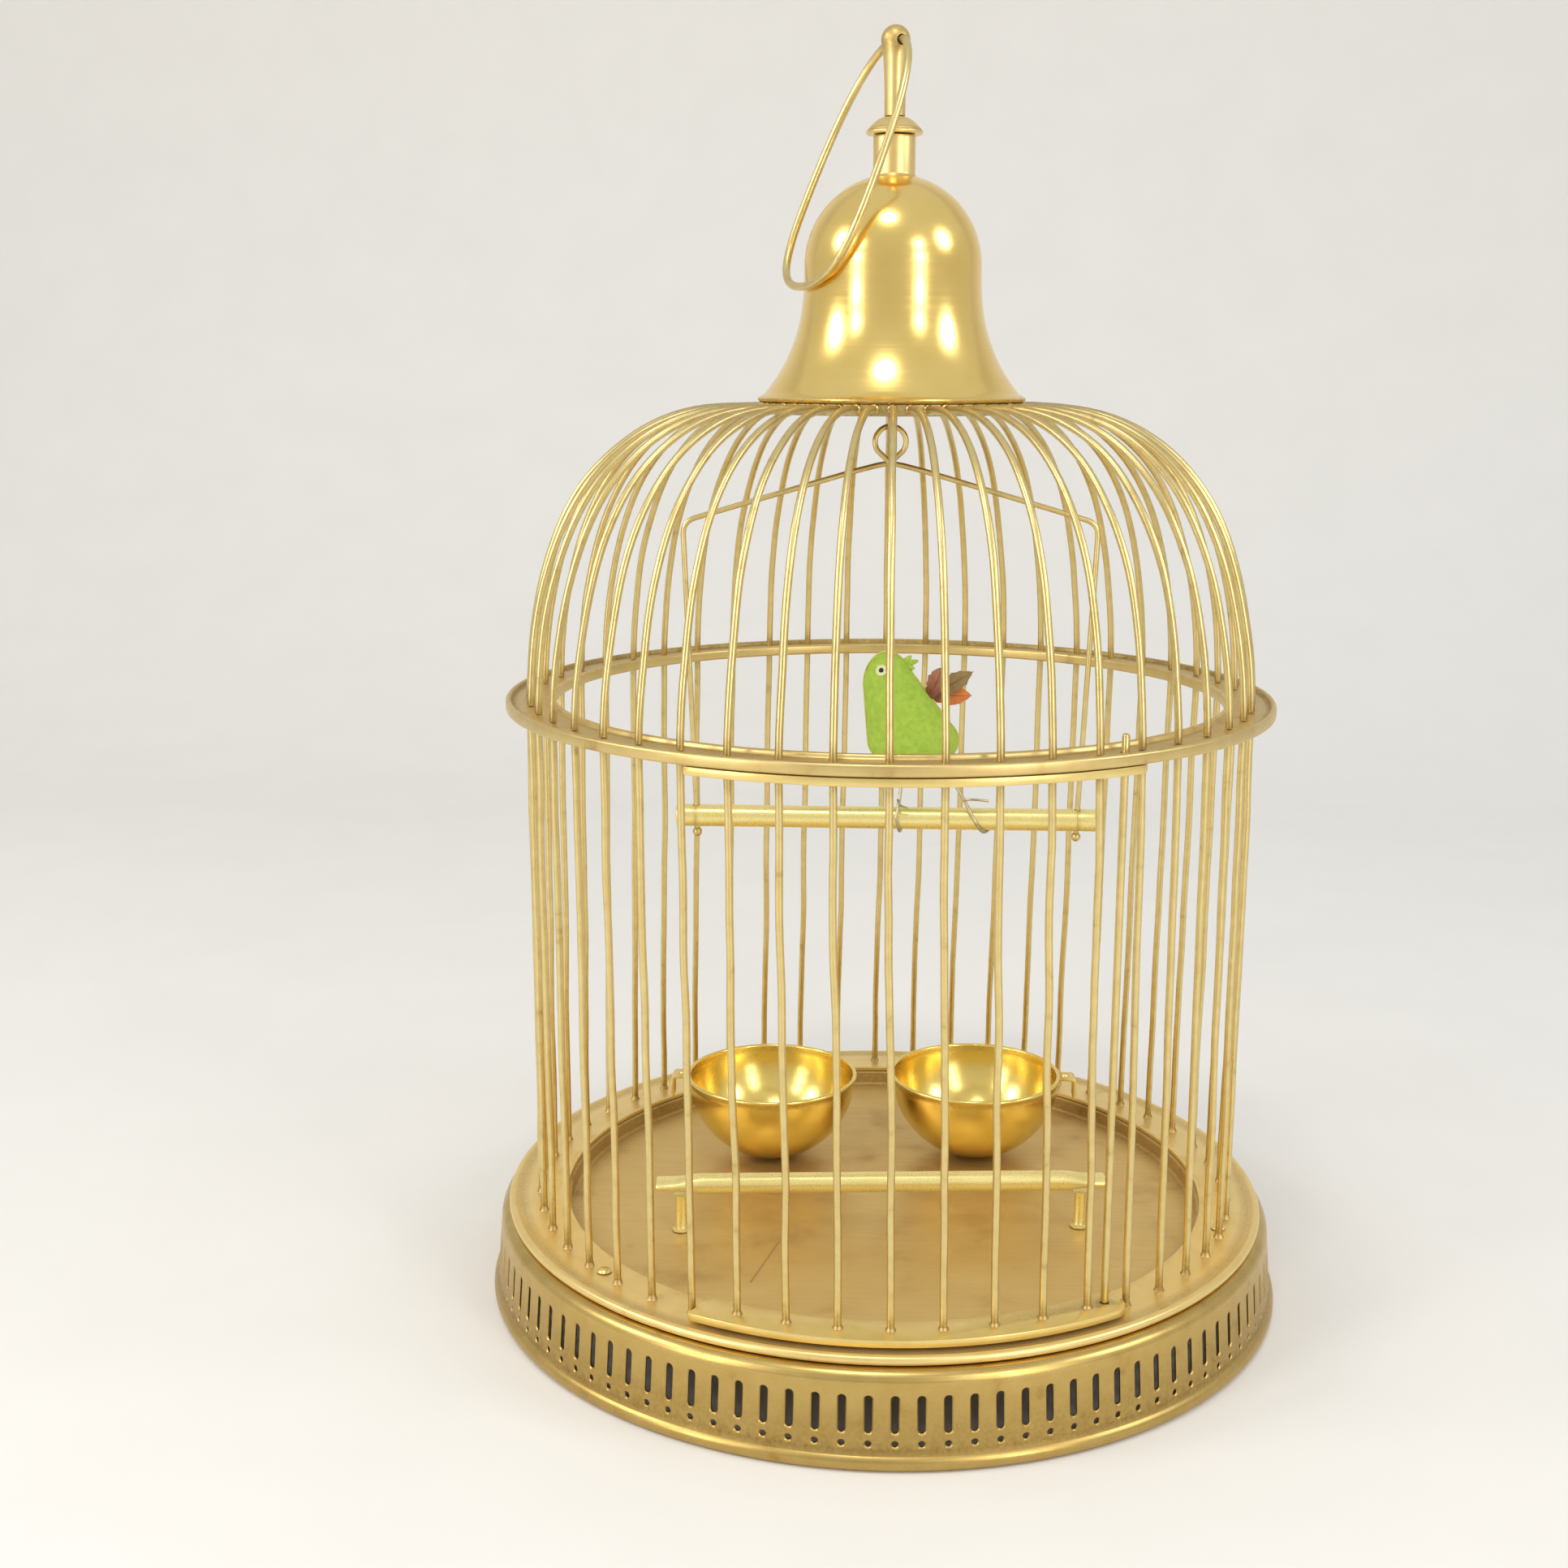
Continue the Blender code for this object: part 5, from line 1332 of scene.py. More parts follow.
    def build_crown(self) -> None:
        """Builds the crown ring, the dome wires and the beads where they meet it."""
        edge = 0.5 * MM
        corners = [(self.crown_inner_r, self.crown_low, edge), (self.crown_outer_r, self.crown_low, edge)]
        corners += [(self.crown_outer_r, self.crown_top, edge), (self.crown_inner_r, self.crown_top, edge)]
        ring = turned("crown_ring", rounded(corners))
        # Painted shade with tarnish: the whole crown ring is darkened evenly, as it lies under the bell's
        # rim.
        place(ring, "cage", "wire_brass", ["dome_wires"], self.looks.wire, lambda p: 0.6)
        start = Vector((WIRE_CIRCLE_R, self.ring_low + self.ring_web + GAP))
        middle_r = (self.crown_inner_r + self.crown_outer_r) / 2.0
        end = Vector((middle_r, (self.crown_low + self.crown_top) / 2.0))
        curve = interpolate_bezier(start, Vector(self.low_handle), Vector(self.high_handle), end, 33)
        line = self.guide("dome", [polar(r, -self.foot_twist_deg, z) for r, z in curve], 0.12)
        # Painted shade with tarnish: the dome wires darken just above the mid ring and under the bell's rim.
        place(
            self.sweep("dome_wires_drawn", line, 0, WIRE_COUNT, 9.2, self.dome_waver), "cage", "wire_brass",
            ["dome_wires"],
            grime_and_shade=lambda p: 0.6 * near(p.z, self.ring_top, 5.0 * MM)
            + 0.5 * near(p.z, self.crown_top, 9.0 * MM),
        )
        bm = bmesh.new()
        bmesh.ops.create_icosphere(bm, subdivisions=2, radius=self.bead_r)
        self.stud(
            to_mesh("crown_beads", bm), "cage", ["dome_wires"], 0, WIRE_COUNT, -self.foot_twist_deg,
            self.crown_outer_r - 0.4 * MM, Height=self.crown_top - 1.6 * MM, Spread=0.12, Seed=6,
            Material=self.looks.wire,
        )

    def build(self) -> None:
        """Builds the rings and the wires."""
        self.build_mid_ring()
        self.build_uprights()
        self.build_crown()


# The door


@dataclass
class Door:
    """The curved door that swings on a long wire at its right side."""

    cage: Cage
    half_width: float = 6.9 * MM
    thick: float = 2.8 * MM
    free_end_deg: float = -27.2
    low_rail: float = 37.2 * MM
    high_rail: float = 219.3 * MM
    first_wire: int = -3
    wire_count: int = 8
    waver: float = 2.4 * MM
    pivot_low: float = 35.0 * MM
    pivot_high: float = 231.2 * MM
    rail_hole_r: float = 1.55 * MM

    def build_rails(self) -> None:
        """Builds the two curved rails, their edges worn round, with the pivot's hole through each."""
        pivot = polar(WIRE_CIRCLE_R, PIVOT_DEG)
        turn = (PIVOT_DEG - self.free_end_deg) / 60.0
        azimuths = [self.free_end_deg + turn * i for i in range(61)]
        for name, z in (("door_bottom_rail", self.low_rail), ("door_top_rail", self.high_rail)):
            outline = [polar(WIRE_CIRCLE_R + self.half_width, a, z) for a in azimuths]
            outline += [pivot + polar(self.half_width, PIVOT_DEG + 12.0 * i, z) for i in range(1, 15)]
            outline += [polar(WIRE_CIRCLE_R - self.half_width, a, z) for a in reversed(azimuths)]
            bm = bmesh.new()
            add_plate(bm, outline, UP * self.thick)
            bevel(bm, 0.45 * MM)
            hole = (pivot + UP * (z - 4.0 * MM), pivot + UP * (z + 8.0 * MM), self.rail_hole_r)
            # Painted shade with tarnish: each rail darkens in a ring round the pivot wire's hole.
            place(
                drill(to_mesh(f"{name}_strip", bm), [hole], 20), "door", "brass", [name],
                self.cage.looks.brass, lambda p: 0.8 * near((p.xy - pivot.xy).length, 1.6 * MM, 2.2 * MM),
            )

    def build_wires(self) -> None:
        """Builds the door's wires with the heads that hold them in the rails."""
        cage = self.cage
        nodes = [f"door_wire_{i + 1}" for i in range(self.wire_count)]
        low = self.low_rail + self.thick
        line = cage.guide("door_wire", cage.upright(low - 0.5 * MM, self.high_rail + 0.5 * MM), 0.15)
        # Painted shade with tarnish: the door wires darken at their feet on the bottom rail and under the top
        # rail.
        place(
            cage.sweep("door_wires_drawn", line, self.first_wire, self.wire_count, 15.1, self.waver), "door",
            "wire_brass", nodes,
            grime_and_shade=lambda p: 0.9 * near(p.z, low, 7.0 * MM) + 0.6 * near(p.z, self.high_rail, 5.0 * MM),
        )
        twist = cage.foot_twist_deg
        high = self.high_rail + self.thick
        dabs = (("door_wire_feet", low, twist, 1.0 * MM), ("door_wire_heads", high, -twist, 0.45 * MM))
        for name, seat, turn, tall in dabs:
            profile = [(0.0, seat - 0.2 * MM), (1.9 * MM, seat - 0.2 * MM), (1.7 * MM, seat + 0.3 * tall)]
            profile += [(1.3 * MM, seat + tall), (0.0, seat + tall)]
            cage.stud(turned(name, profile, 14), "door", nodes, self.first_wire, self.wire_count, turn)

    def build_pivot(self) -> None:
        """Builds the long pivot wire, with its end rounded over above the mid ring."""
        r = self.cage.wire_r
        heights = [self.pivot_low, self.pivot_low + 0.4 * MM]
        heights += [self.pivot_low + (self.pivot_high - self.pivot_low) * i / 12.0 for i in range(1, 12)]
        heights += [self.pivot_high - 1.0 * MM, self.pivot_high - 0.4 * MM, self.pivot_high]
        radii = [0.8 * r] + [r] * 13 + [0.85 * r, 0.4 * r]
        low, high = self.low_rail + self.thick, self.cage.ring_top
        # Painted shade with tarnish: the pivot wire darkens just above the bottom rail and at the mid ring's
        # top.
        place(
            swept("door_pivot_rod", [polar(WIRE_CIRCLE_R, PIVOT_DEG, z) for z in heights], radii, 14), "door",
            "wire_brass", ["door_pivot_wire"], self.cage.looks.wire,
            lambda p: 0.9 * near(p.z, low, 6.0 * MM) + 0.7 * near(p.z, high, 2.0 * MM),
        )

    def build(self) -> None:
        """Builds the whole door."""
        self.build_rails()
        self.build_wires()
        self.build_pivot()


# The bell and what stands on it


@dataclass
class Bell:
    """The spun bell with its neck, collar, finial, and the hook under its stem.

    The hole through the finial's head runs along bail_axis.
    """

    looks: Finishes
    bail_axis: Vector
    crown_r: float = 31.0 * MM
    crown: float = 376.5 * MM
    rim_r: float = 47.2 * MM
    rim: float = 330.3 * MM
    rim_round: float = 0.9 * MM
    flare_power: float = 2.6
    sheet: float = 1.0 * MM
    stem_r: float = 2.2 * MM
    hole_r: float = 2.5 * MM
    neck_r: float = 7.3 * MM
    neck_top: float = 420.2 * MM
    neck_round: float = 0.5 * MM
    collar_r: float = 9.9 * MM
    collar_h: float = 5.8 * MM
    collar_round: float = 0.7 * MM
    finial_low_r: float = 3.6 * MM
    finial_high_r: float = 5.0 * MM
    finial_top: float = 456.5 * MM
    cross_hole: float = 451.0 * MM
    cross_hole_r: float = 1.8 * MM
    stem_end: float = 396.0 * MM
    nut_across: float = 9.0 * MM
    nut_h: float = 3.5 * MM
    hook_wire_r: float = 1.1 * MM
    hook_r: float = 4.5 * MM

    def flare_r(self, z: float) -> float:
        """Gives the bell's outer radius below its round crown."""
        share = max(0.0, (self.crown - z) / (self.crown - self.rim))
        return self.crown_r + (self.rim_r - self.crown_r) * share ** self.flare_power

    def build_shell(self) -> None:
        """Builds the bell's shell with its rim turned over to a thin round edge."""
        start = self.rim + 2.4 * MM
        heights = [start + (self.crown - start) * i / 28.0 for i in range(28)]
        faces = []
        for inset in (0.0, self.sheet):
            sphere_r = self.crown_r - inset
            last = degrees(acos(self.hole_r / sphere_r))
            dome = arc((0.0, self.crown), sphere_r, 0.0, last, 30)
            faces.append([(self.flare_r(z) - inset, z) for z in heights] + dome)
        rim = arc((self.rim_r - 0.7 * MM, self.rim + self.rim_round), self.rim_round, 200.0, 380.0, 8)
        # Painted shade with tarnish: the bell darkens round its rim, over the crown ring.
        place(
            turned("bell_shell", rim + faces[0] + faces[1][::-1]), "cage", "polished_brass", ["bell"],
            self.looks.polished, lambda p: 0.6 * near(p.z, self.rim, 2.0 * MM),
        )

    def build_neck(self) -> None:
        """Builds the neck tube with a soft fillet at its foot."""
        seat = self.crown + sqrt(self.crown_r ** 2 - self.neck_r ** 2)
        fillet, edge = 0.9 * MM, self.neck_round
        profile = [(self.hole_r, seat + 0.1 * MM), (self.neck_r + 0.5 * MM, seat - 0.2 * MM)]
        profile += arc((self.neck_r + fillet, seat + fillet), fillet, 230.0, 180.0, 5)
        profile += arc((self.neck_r - edge, self.neck_top - edge), edge, 0.0, 90.0, 3)
        profile += [(self.hole_r, self.neck_top)]
        # Painted shade with tarnish: the neck darkens at its foot on the bell and under the collar.
        place(
            turned("bell_neck_tube", profile, 64), "cage", "polished_brass", ["bell_neck"], self.looks.turned,
            lambda p: 0.35 * near(p.z, seat, 1.0 * MM) + 0.3 * near(p.z, self.neck_top, 0.8 * MM),
        )

    def build_collar(self) -> None:
        """Builds the domed collar on the neck."""
        low, edge = self.neck_top + GAP, self.collar_round
        profile = [(self.hole_r, low), (self.collar_r - 0.4 * MM, low)]
        profile += arc((self.collar_r - edge, low + edge), edge, -60.0, 90.0, 6)
        dome = [(0.93, 0.30), (0.85, 0.46), (0.74, 0.66), (0.60, 0.84), (0.46, 0.95), (0.34, 1.0)]
        profile += [(wide * self.collar_r, low + high * self.collar_h) for wide, high in dome]
        profile += [(self.hole_r, low + self.collar_h)]
        # Painted shade with tarnish: a darker band in the crease between the collar's rounded edge and its
        # dome.
        place(
            turned("bell_collar_disc", profile, 64), "cage", "polished_brass", ["bell_collar"],
            self.looks.turned, lambda p: 0.7 * near(p.z, low + 0.25 * self.collar_h, 0.8 * MM),
        )

    def build_finial(self) -> None:
        """Builds the tapered finial with its round head, cross hole and stem."""
        low = self.neck_top + self.collar_h + 2.0 * GAP
        head = self.finial_top - self.finial_high_r
        profile = [(0.0, self.stem_end), (self.stem_r, self.stem_end)]
        profile += [(self.stem_r, low), (self.finial_low_r, low)]
        tall = head - low
        waist = [(0.0, 0.02), (0.04, 0.25), (0.16, 0.5), (0.42, 0.75), (0.70, 0.88)]
        swell = self.finial_high_r - self.finial_low_r
        profile += [(self.finial_low_r + swell * wide, low + tall * high) for wide, high in waist]
        profile += arc((0.0, head), self.finial_high_r, -8.0, 90.0, 14)[:-1] + [(0.0, self.finial_top)]
        eye = UP * self.cross_hole
        reach = self.bail_axis * (15.0 * MM)
        # Painted shade with tarnish: the finial darkens over its round head, where the bail passes through,
        # and at its foot over the collar.
        place(
            drill(turned("finial_pin", profile, 48), [(eye - reach, eye + reach, self.cross_hole_r)], 20),
            "cage", "polished_brass", ["finial"], self.looks.turned,
            lambda p: 0.7 * near((p - eye).length, 5.0 * MM, 0.9 * MM) + 0.5 * near(p.z, low, 1.0 * MM),
        )

    def build_nut(self) -> None:
        """Builds the hexagonal nut inside the bell."""
        corner_r = self.nut_across / sqrt(3.0)
        top = self.crown + sqrt((self.crown_r - self.sheet) ** 2 - corner_r ** 2) - GAP
        bm = bmesh.new()
        add_plate(bm, [polar(corner_r, 60.0 * i, top - self.nut_h) for i in range(6)], UP * self.nut_h)
        bevel(bm, 0.3 * MM, 1)
        bore = (UP * (top - 6.0 * MM), UP * (top + 2.0 * MM), self.hole_r)
        nut = drill(to_mesh("stem_nut_hex", bm), [bore], 24)
        place(nut, "cage", "brass", ["stem_nut"], self.looks.brass)

    def build_hook(self) -> None:
        """Builds the wire hook under the stem that the swing hangs in."""
        bottom = HANG - SWING_WIRE_R - self.hook_wire_r - GAP
        middle = bottom + self.hook_r
        line = [(0.0, self.stem_end - GAP), (0.0, middle + 2.6 * self.hook_r)]
        line += [(0.2 * MM, middle + 2.0 * self.hook_r), (1.3 * MM, middle + 1.35 * self.hook_r)]
        line += arc((0.0, middle), self.hook_r, 50.0, -180.0, 30)
        line += [(-self.hook_r, middle + 3.2 * MM)]
        path = [Vector((0.0, y, z)) for y, z in line]
        radii = [self.hook_wire_r] * (len(path) - 1) + [0.7 * self.hook_wire_r]
        # Painted shade with tarnish: the hook darkens at the bottom of its bend, where the swing's loop
        # hangs.
        place(
            swept("swing_hook_wire", path, radii, 12), "cage", "wire_brass", ["swing_hanger"],
            self.looks.wire, lambda p: 0.6 * near(p.z, bottom, 4.0 * MM),
        )

    def build(self) -> None:
        """Builds everything from the bell up, and what hangs in it."""
        self.build_shell()
        self.build_neck()
        self.build_collar()
        self.build_finial()
        self.build_nut()
        self.build_hook()


# The bail


@dataclass
class Bail:
    """The loose wire loop, resting with its foot against the bell.

    Its widest place, widest_at, is measured down from its pin.
    """

    looks: Finishes
    wire_r: float = 1.4 * MM
    yaw_deg: float = 27.0
    length: float = 88.1 * MM
    half_width: float = 25.5 * MM
    widest_at: float = 58.0 * MM
    top_half: float = 6.2 * MM
    shoulder: Pair = (20.0 * MM, 6.0 * MM)
    fullness: float = 0.72
    skew: float = 0.05

    @property
    def axis(self) -> Vector:
        """The way of the hole that the loop turns in."""
        return polar(1.0, self.yaw_deg)

    def build(self, bell: Bell) -> None:
        """Builds the loop.

        Args:
            bell: the bell that it hangs over and that its foot leans on.
        """
        lean = 0.3
        for _ in range(6):
            foot_z = bell.cross_hole - self.length * cos(lean)
            lean = asin((bell.flare_r(foot_z) + self.wire_r + GAP) / self.length)
        down = Vector((self.axis.y, -self.axis.x, 0.0)) * sin(lean) - UP * cos(lean)
        top = Vector((self.top_half, 0.0))
        widest = Vector((self.half_width, self.widest_at))
        foot = Vector((0.0, self.length))
        above = widest - Vector((0.0, 0.5 * self.widest_at))
        under = widest + Vector((0.0, self.fullness * (self.length - self.widest_at)))
        beside = foot + Vector((self.fullness * self.half_width, 0.0))
        side = interpolate_bezier(top, Vector(self.shoulder), above, widest, 29)
        side += interpolate_bezier(widest, under, beside, foot, 25)[1:]
        loop = side + [Vector((-p.x, p.y)) for p in reversed(side[:-1])]
        pin = UP * bell.cross_hole
        points = [pin + self.axis * (p.x - self.skew * p.y) + down * p.y for p in loop]
        # Painted shade with tarnish: the bail darkens near its pin in the finial.
        place(
            swept("bail_wire_loop", points, [self.wire_r] * len(points), 14, closed=True), "bail_loop",
            "wire_brass", ["bail"], self.looks.wire,
            lambda p: 0.7 * near((p - pin).length, 6.0 * MM, 4.0 * MM),
        )


# The swing


@dataclass
class Swing:
    """The swing: one bent wire with a ball at each foot, and the bar it carries."""

    looks: Finishes
    loop_r: float = 5.5 * MM
    cross: float = 308.6 * MM
    shoulder: float = 12.0 * MM
    corner_half: float = 74.5 * MM
    corner: float = 287.5 * MM
    corner_round: float = 4.6 * MM
    foot_half: float = 70.2 * MM
    ball_r: float = 1.8 * MM
    perch_half: float = 78.0 * MM
    perch_round: float = 0.8 * MM
    groove: float = 0.25 * MM

    def arm(self, side: float) -> tuple[list[Vector], list[float]]:
        """Gives one arm, from its ball up to the crossing.

        Args:
            side: -1 for the left arm, 1 for the right.

        Returns:
            The points and the radius at each.
        """
        ball = PERCH - PERCH_R - GAP - self.ball_r
        turns = [radians(angle) for angle in range(-75, 61, 15)]
        points = [Vector((side * self.foot_half, 0.0, ball + self.ball_r * sin(a))) for a in turns]
        radii = [self.ball_r * cos(a) for a in turns[:-1]] + [SWING_WIRE_R]
        low = Vector((side * self.foot_half, 0.0, ball + 1.3 * self.ball_r))
        corner = Vector((side * self.corner_half, 0.0, self.corner))
        cross_y = -side * (SWING_WIRE_R + 0.2 * MM)
        shoulder = Vector((side * self.shoulder, 0.6 * cross_y, self.cross - 2.8 * MM))
        before = corner - UP * self.corner_round
        after = corner + (shoulder - corner).normalized() * self.corner_round
        rest = [low + (before - low) * i / 10.0 for i in range(11)]
        rest += [before.lerp(corner, t).lerp(corner.lerp(after, t), t) for t in (0.17, 0.33, 0.5, 0.67, 0.83)]
        rest += [after + (shoulder - after) * i / 6.0 for i in range(7)]
        rest += [Vector((side * 5.0 * MM, 0.85 * cross_y, self.cross - 1.0 * MM))]
        rest += [Vector((0.0, cross_y, self.cross))]
        return points + rest, radii + [SWING_WIRE_R] * len(rest)

    def build_frame(self) -> None:
        """Builds the wire with the loop that hangs in the hook."""
        left, left_radii = self.arm(-1.0)
        right, right_radii = self.arm(1.0)
        tilt = 0.9 * (SWING_WIRE_R + 0.2 * MM)
        ring = arc((0.0, HANG - self.loop_r), self.loop_r, -35.0, 215.0, 36)
        loop = [Vector((x, tilt * (1.0 - i / 18.0), z)) for i, (x, z) in enumerate(ring)]
        radii = left_radii + [SWING_WIRE_R] * len(loop) + right_radii[::-1]
        # Painted shade with tarnish: the swing wire darkens where it passes through the bar and at the
        # crossing.
        place(
            swept("swing_wire", left + loop + right[::-1], radii, 12), "swing", "wire_brass", ["swing_frame"],
            self.looks.wire,
            lambda p: 0.7 * near(p.z, PERCH, 8.0 * MM) + 0.4 * near(p.z, self.cross, 6.0 * MM),
        )

    def build_perch(self) -> None:
        """Builds the bar with its rounded ends, bored where the wire goes through."""
        end, r = self.perch_half, PERCH_R
        half = [(end - 0.3 * MM, 0.35 * r), (end, 0.55 * r)]
        half += arc((end - self.perch_round, r - self.perch_round), self.perch_round, 0.0, 90.0, 4)
        half += [(end - step * MM, r) for step in (2.0, 4.0, 6.0)]
        half += [(end - step * MM, r - self.groove) for step in (7.2, 7.6)]
        half += [(end - step * MM, r) for step in (7.8, 9.0, 11.0, 14.0, 20.0, 38.0, 58.0)] + [(0.0, r)]
        bm = bmesh.new()
        add_bar(bm, UP * PERCH, Matrix.Identity(3), [(x, radius, radius) for x, radius in half])
        holes = []
        for side in (-1.0, 1.0):
            foot = Vector((side * self.foot_half, 0.0, PERCH - r - GAP - self.ball_r + 1.3 * self.ball_r))
            bend = Vector((side * self.corner_half, 0.0, self.corner - self.corner_round))
            way = (bend - foot).normalized()
            holes.append((foot - way * (12.0 * MM), foot + way * (14.0 * MM), SWING_WIRE_R + GAP))
        # Painted shade with tarnish: the bar darkens at its grooves, where the wire passes through.
        place(
            drill(to_mesh("swing_perch_bar", bm), holes, 16), "swing", "brass", ["swing_perch"],
            self.looks.tube, lambda p: 0.6 * near(abs(p.x), end - 7.4 * MM, 1.2 * MM),
        )

    def build(self) -> None:
        """Builds the swing."""
        self.build_frame()
        self.build_perch()


# The bird


@dataclass
class Bird:
    """The stuffed felt bird that is wired to the swing's bar.

    The eye's and the crest's places are from the head's middle. Each feather has its angle and its length.
    """

    looks: Finishes
    trees: Trees
    body: Vector = Vector((9.6 * MM, 0.0, 208.1 * MM))
    body_radii: Vector = Vector((16.6 * MM, 12.0 * MM, 11.0 * MM))
    head: Vector = Vector((-0.1 * MM, 0.0, 228.9 * MM))
    head_radii: Vector = Vector((8.6 * MM, 8.0 * MM, 11.8 * MM))
    eye: Pair = (-2.1 * MM, 5.8 * MM)
    eye_r: float = 2.1 * MM
    bead_r: float = 0.95 * MM
    crest: Pair = (5.1 * MM, 6.8 * MM)
    feather_root: Vector = Vector((15.6 * MM, 0.0, 224.8 * MM))
    feather_width: float = 7.4 * MM
    feather_thick: float = 0.36 * MM
    barbs: float = 24.0
    feathers: tuple[Pair, ...] = ((64.0, 11.5 * MM), (27.0, 18.0 * MM), (-4.0, 15.5 * MM))
    leg_r: float = 0.6 * MM

    def __post_init__(self) -> None:
        """Sets the ellipsoids from body to head that the skin is drawn over."""
        self.middle = self.body.lerp(self.head, 0.42)
        shares = [i / 8.0 for i in range(9)]
        self.cores = [
            (self.body.lerp(self.head, t), self.body_radii.lerp(self.head_radii, t)) for t in shares
        ]

    def holds(self, point: Vector) -> bool:
        """Tells whether a point is inside the skin, which is drawn tight over body and head."""
        aways = [(point - centre, radii) for centre, radii in self.cores]
        return any(Vector((w.x / r.x, w.y / r.y, w.z / r.z)).length_squared < 1.0 for w, r in aways)

    def skin(self, way: Vector) -> Vector:
        """Finds the skin in one direction from the bird's middle.

        Args:
            way: the direction, of length 1.

        Returns:
            The point.
        """
        inside, outside = 0.0, 45.0 * MM
        for _ in range(15):
            tried = (inside + outside) / 2.0
            if self.holds(self.middle + way * tried):
                inside = tried
            else:
                outside = tried
        return self.middle + way * inside

    def body_mesh(self, rings: int, segments: int, lift: float) -> Mesh:
        """Builds the skin of body and head.

        Args:
            rings: how many rings lie between the poles.
            segments: how many points each has.
            lift: how far outside the skin it lies.

        Returns:
            The mesh.
        """
        bm = bmesh.new()
        rows = []
        for i in range(rings + 1):
            up = pi * (i / rings - 0.5)
            row = []
            for k in range(segments if 0 < i < rings else 1):
                way = polar(cos(up), 360.0 * k / segments, sin(up))
                point = self.skin(way)
                puff = 0.25 * MM * noise.noise(point * 160.0)
                row.append(bm.verts.new(point + way * (lift + puff)))
            rows.append(row)
        join_rings(bm, rows)
        return to_mesh("bird_felt_body", bm)

    def outline(self, start_deg: float, end_deg: float, steps: int, lift: float) -> list[Vector]:
        """Gives part of the seam in the middle plane, from one angle to another, lifted off the skin."""
        ways = [Vector((u, 0.0, v)) for u, v in arc((0.0, 0.0), 1.0, start_deg, end_deg, steps)]
        return [self.skin(way) + way * lift for way in ways]

    def build_body(self) -> None:
        """Builds the stuffed body, its standing fibres, and the overcast seam round its middle."""
        looks = self.looks
        body = place(self.body_mesh(48, 64, 0.0), "swing", "felt", ["bird_body"], looks.felt)
        fibres = self.trees.fuzz.grow(
            "bird_felt_fibres", self.body_mesh(32, 48, -0.05 * MM), Density=1.4e6, Length=0.75 * MM,
            Thickness=0.045 * MM, Lean=0.9, Seed=11, Material=looks.felt,
        )
        place(fibres, "swing", "felt", ["bird_body"])
        seam = self.outline(-150.0, 210.0, 120, 0.10 * MM)
        stitches = self.trees.stitches.grow(
            "bird_seam_stitches", polyline("seam", seam), Spacing=1.25 * MM, Length=0.85 * MM,
            Thickness=0.26 * MM, Slant=0.9, Material=looks.thread,
        )
        place(settle(stitches), "swing", "felt", ["bird_body"])
        cord = swept("bird_seam_cord", seam[:-1], [0.32 * MM] * (len(seam) - 1), 8, closed=True)
        place(cord, "swing", "felt", ["bird_body"], looks.thread)

    def build_eyes(self) -> None:
        """Builds a cream disc with a black bead on each side of the head."""
        x, z = self.eye
        radii = self.head_radii
        out = radii.y * sqrt(1.0 - (x / radii.x) ** 2 - (z / radii.z) ** 2)
        edge = [(0.84, -0.6), (0.95, 0.15), (1.0, 0.4), (0.95, 0.65), (0.82, 0.8), (0.66, 0.65)]
        disc = [(0.0, -0.6 * MM)] + [(wide * self.eye_r, high * MM) for wide, high in edge]
        disc += [(0.0, 0.6 * MM)]
        base = 0.35 * MM
        bead = [(0.0, base - 0.5 * self.bead_r)] + arc((0.0, base), self.bead_r, -30.0, 90.0, 8)[:-1]
        bead += [(0.0, base + self.bead_r)]
        for side, name in ((-1.0, "bird_eye_left"), (1.0, "bird_eye_right")):
            y = side * out
            normal = Vector((x / radii.x ** 2, y / radii.y ** 2, z / radii.z ** 2)).normalized()
            seat = Matrix.LocRotScale(self.head + Vector((x, y, z)), UP.rotation_difference(normal), None)
            for label, profile, look in (("disc", disc, self.looks.eye), ("bead", bead, self.looks.pupil)):
                mesh = turned(f"{name}_{label}", profile, 32)
                mesh.transform(seat)
                place(mesh, "swing", "bird_eye", [name], look)

    def build_crest(self) -> None:
        """Builds the small felt tuft at the back of the head."""
        root = self.head + Vector((self.crest[0], 0.0, self.crest[1]))
        bm = bmesh.new()
        for lean, reach, sway in ((16.0, 6.4, 0.0), (44.0, 5.0, 0.8), (-12.0, 5.0, -0.8)):
            a = radians(lean)
            way = Vector((reach * cos(a), sway, reach * sin(a)))
            points = [root + way * MM * t for t in (0.0, 0.3, 0.6, 0.85, 1.0)]
            add_tube(bm, points, [r * MM for r in (1.1, 1.25, 1.1, 0.75, 0.25)], 10)
        place(to_mesh("bird_crest_tuft", bm), "swing", "felt", ["bird_crest"], self.looks.felt)

    def feather_place(self, number: int) -> tuple[Vector, Matrix]:
        """Gives a feather's root and the turn that lays it along its angle."""
        shift = Vector((0.0, (number - 1) * 1.3 * MM, 0.0))
        return self.feather_root + shift, Matrix.Rotation(radians(-self.feathers[number][0]), 3, "Y")

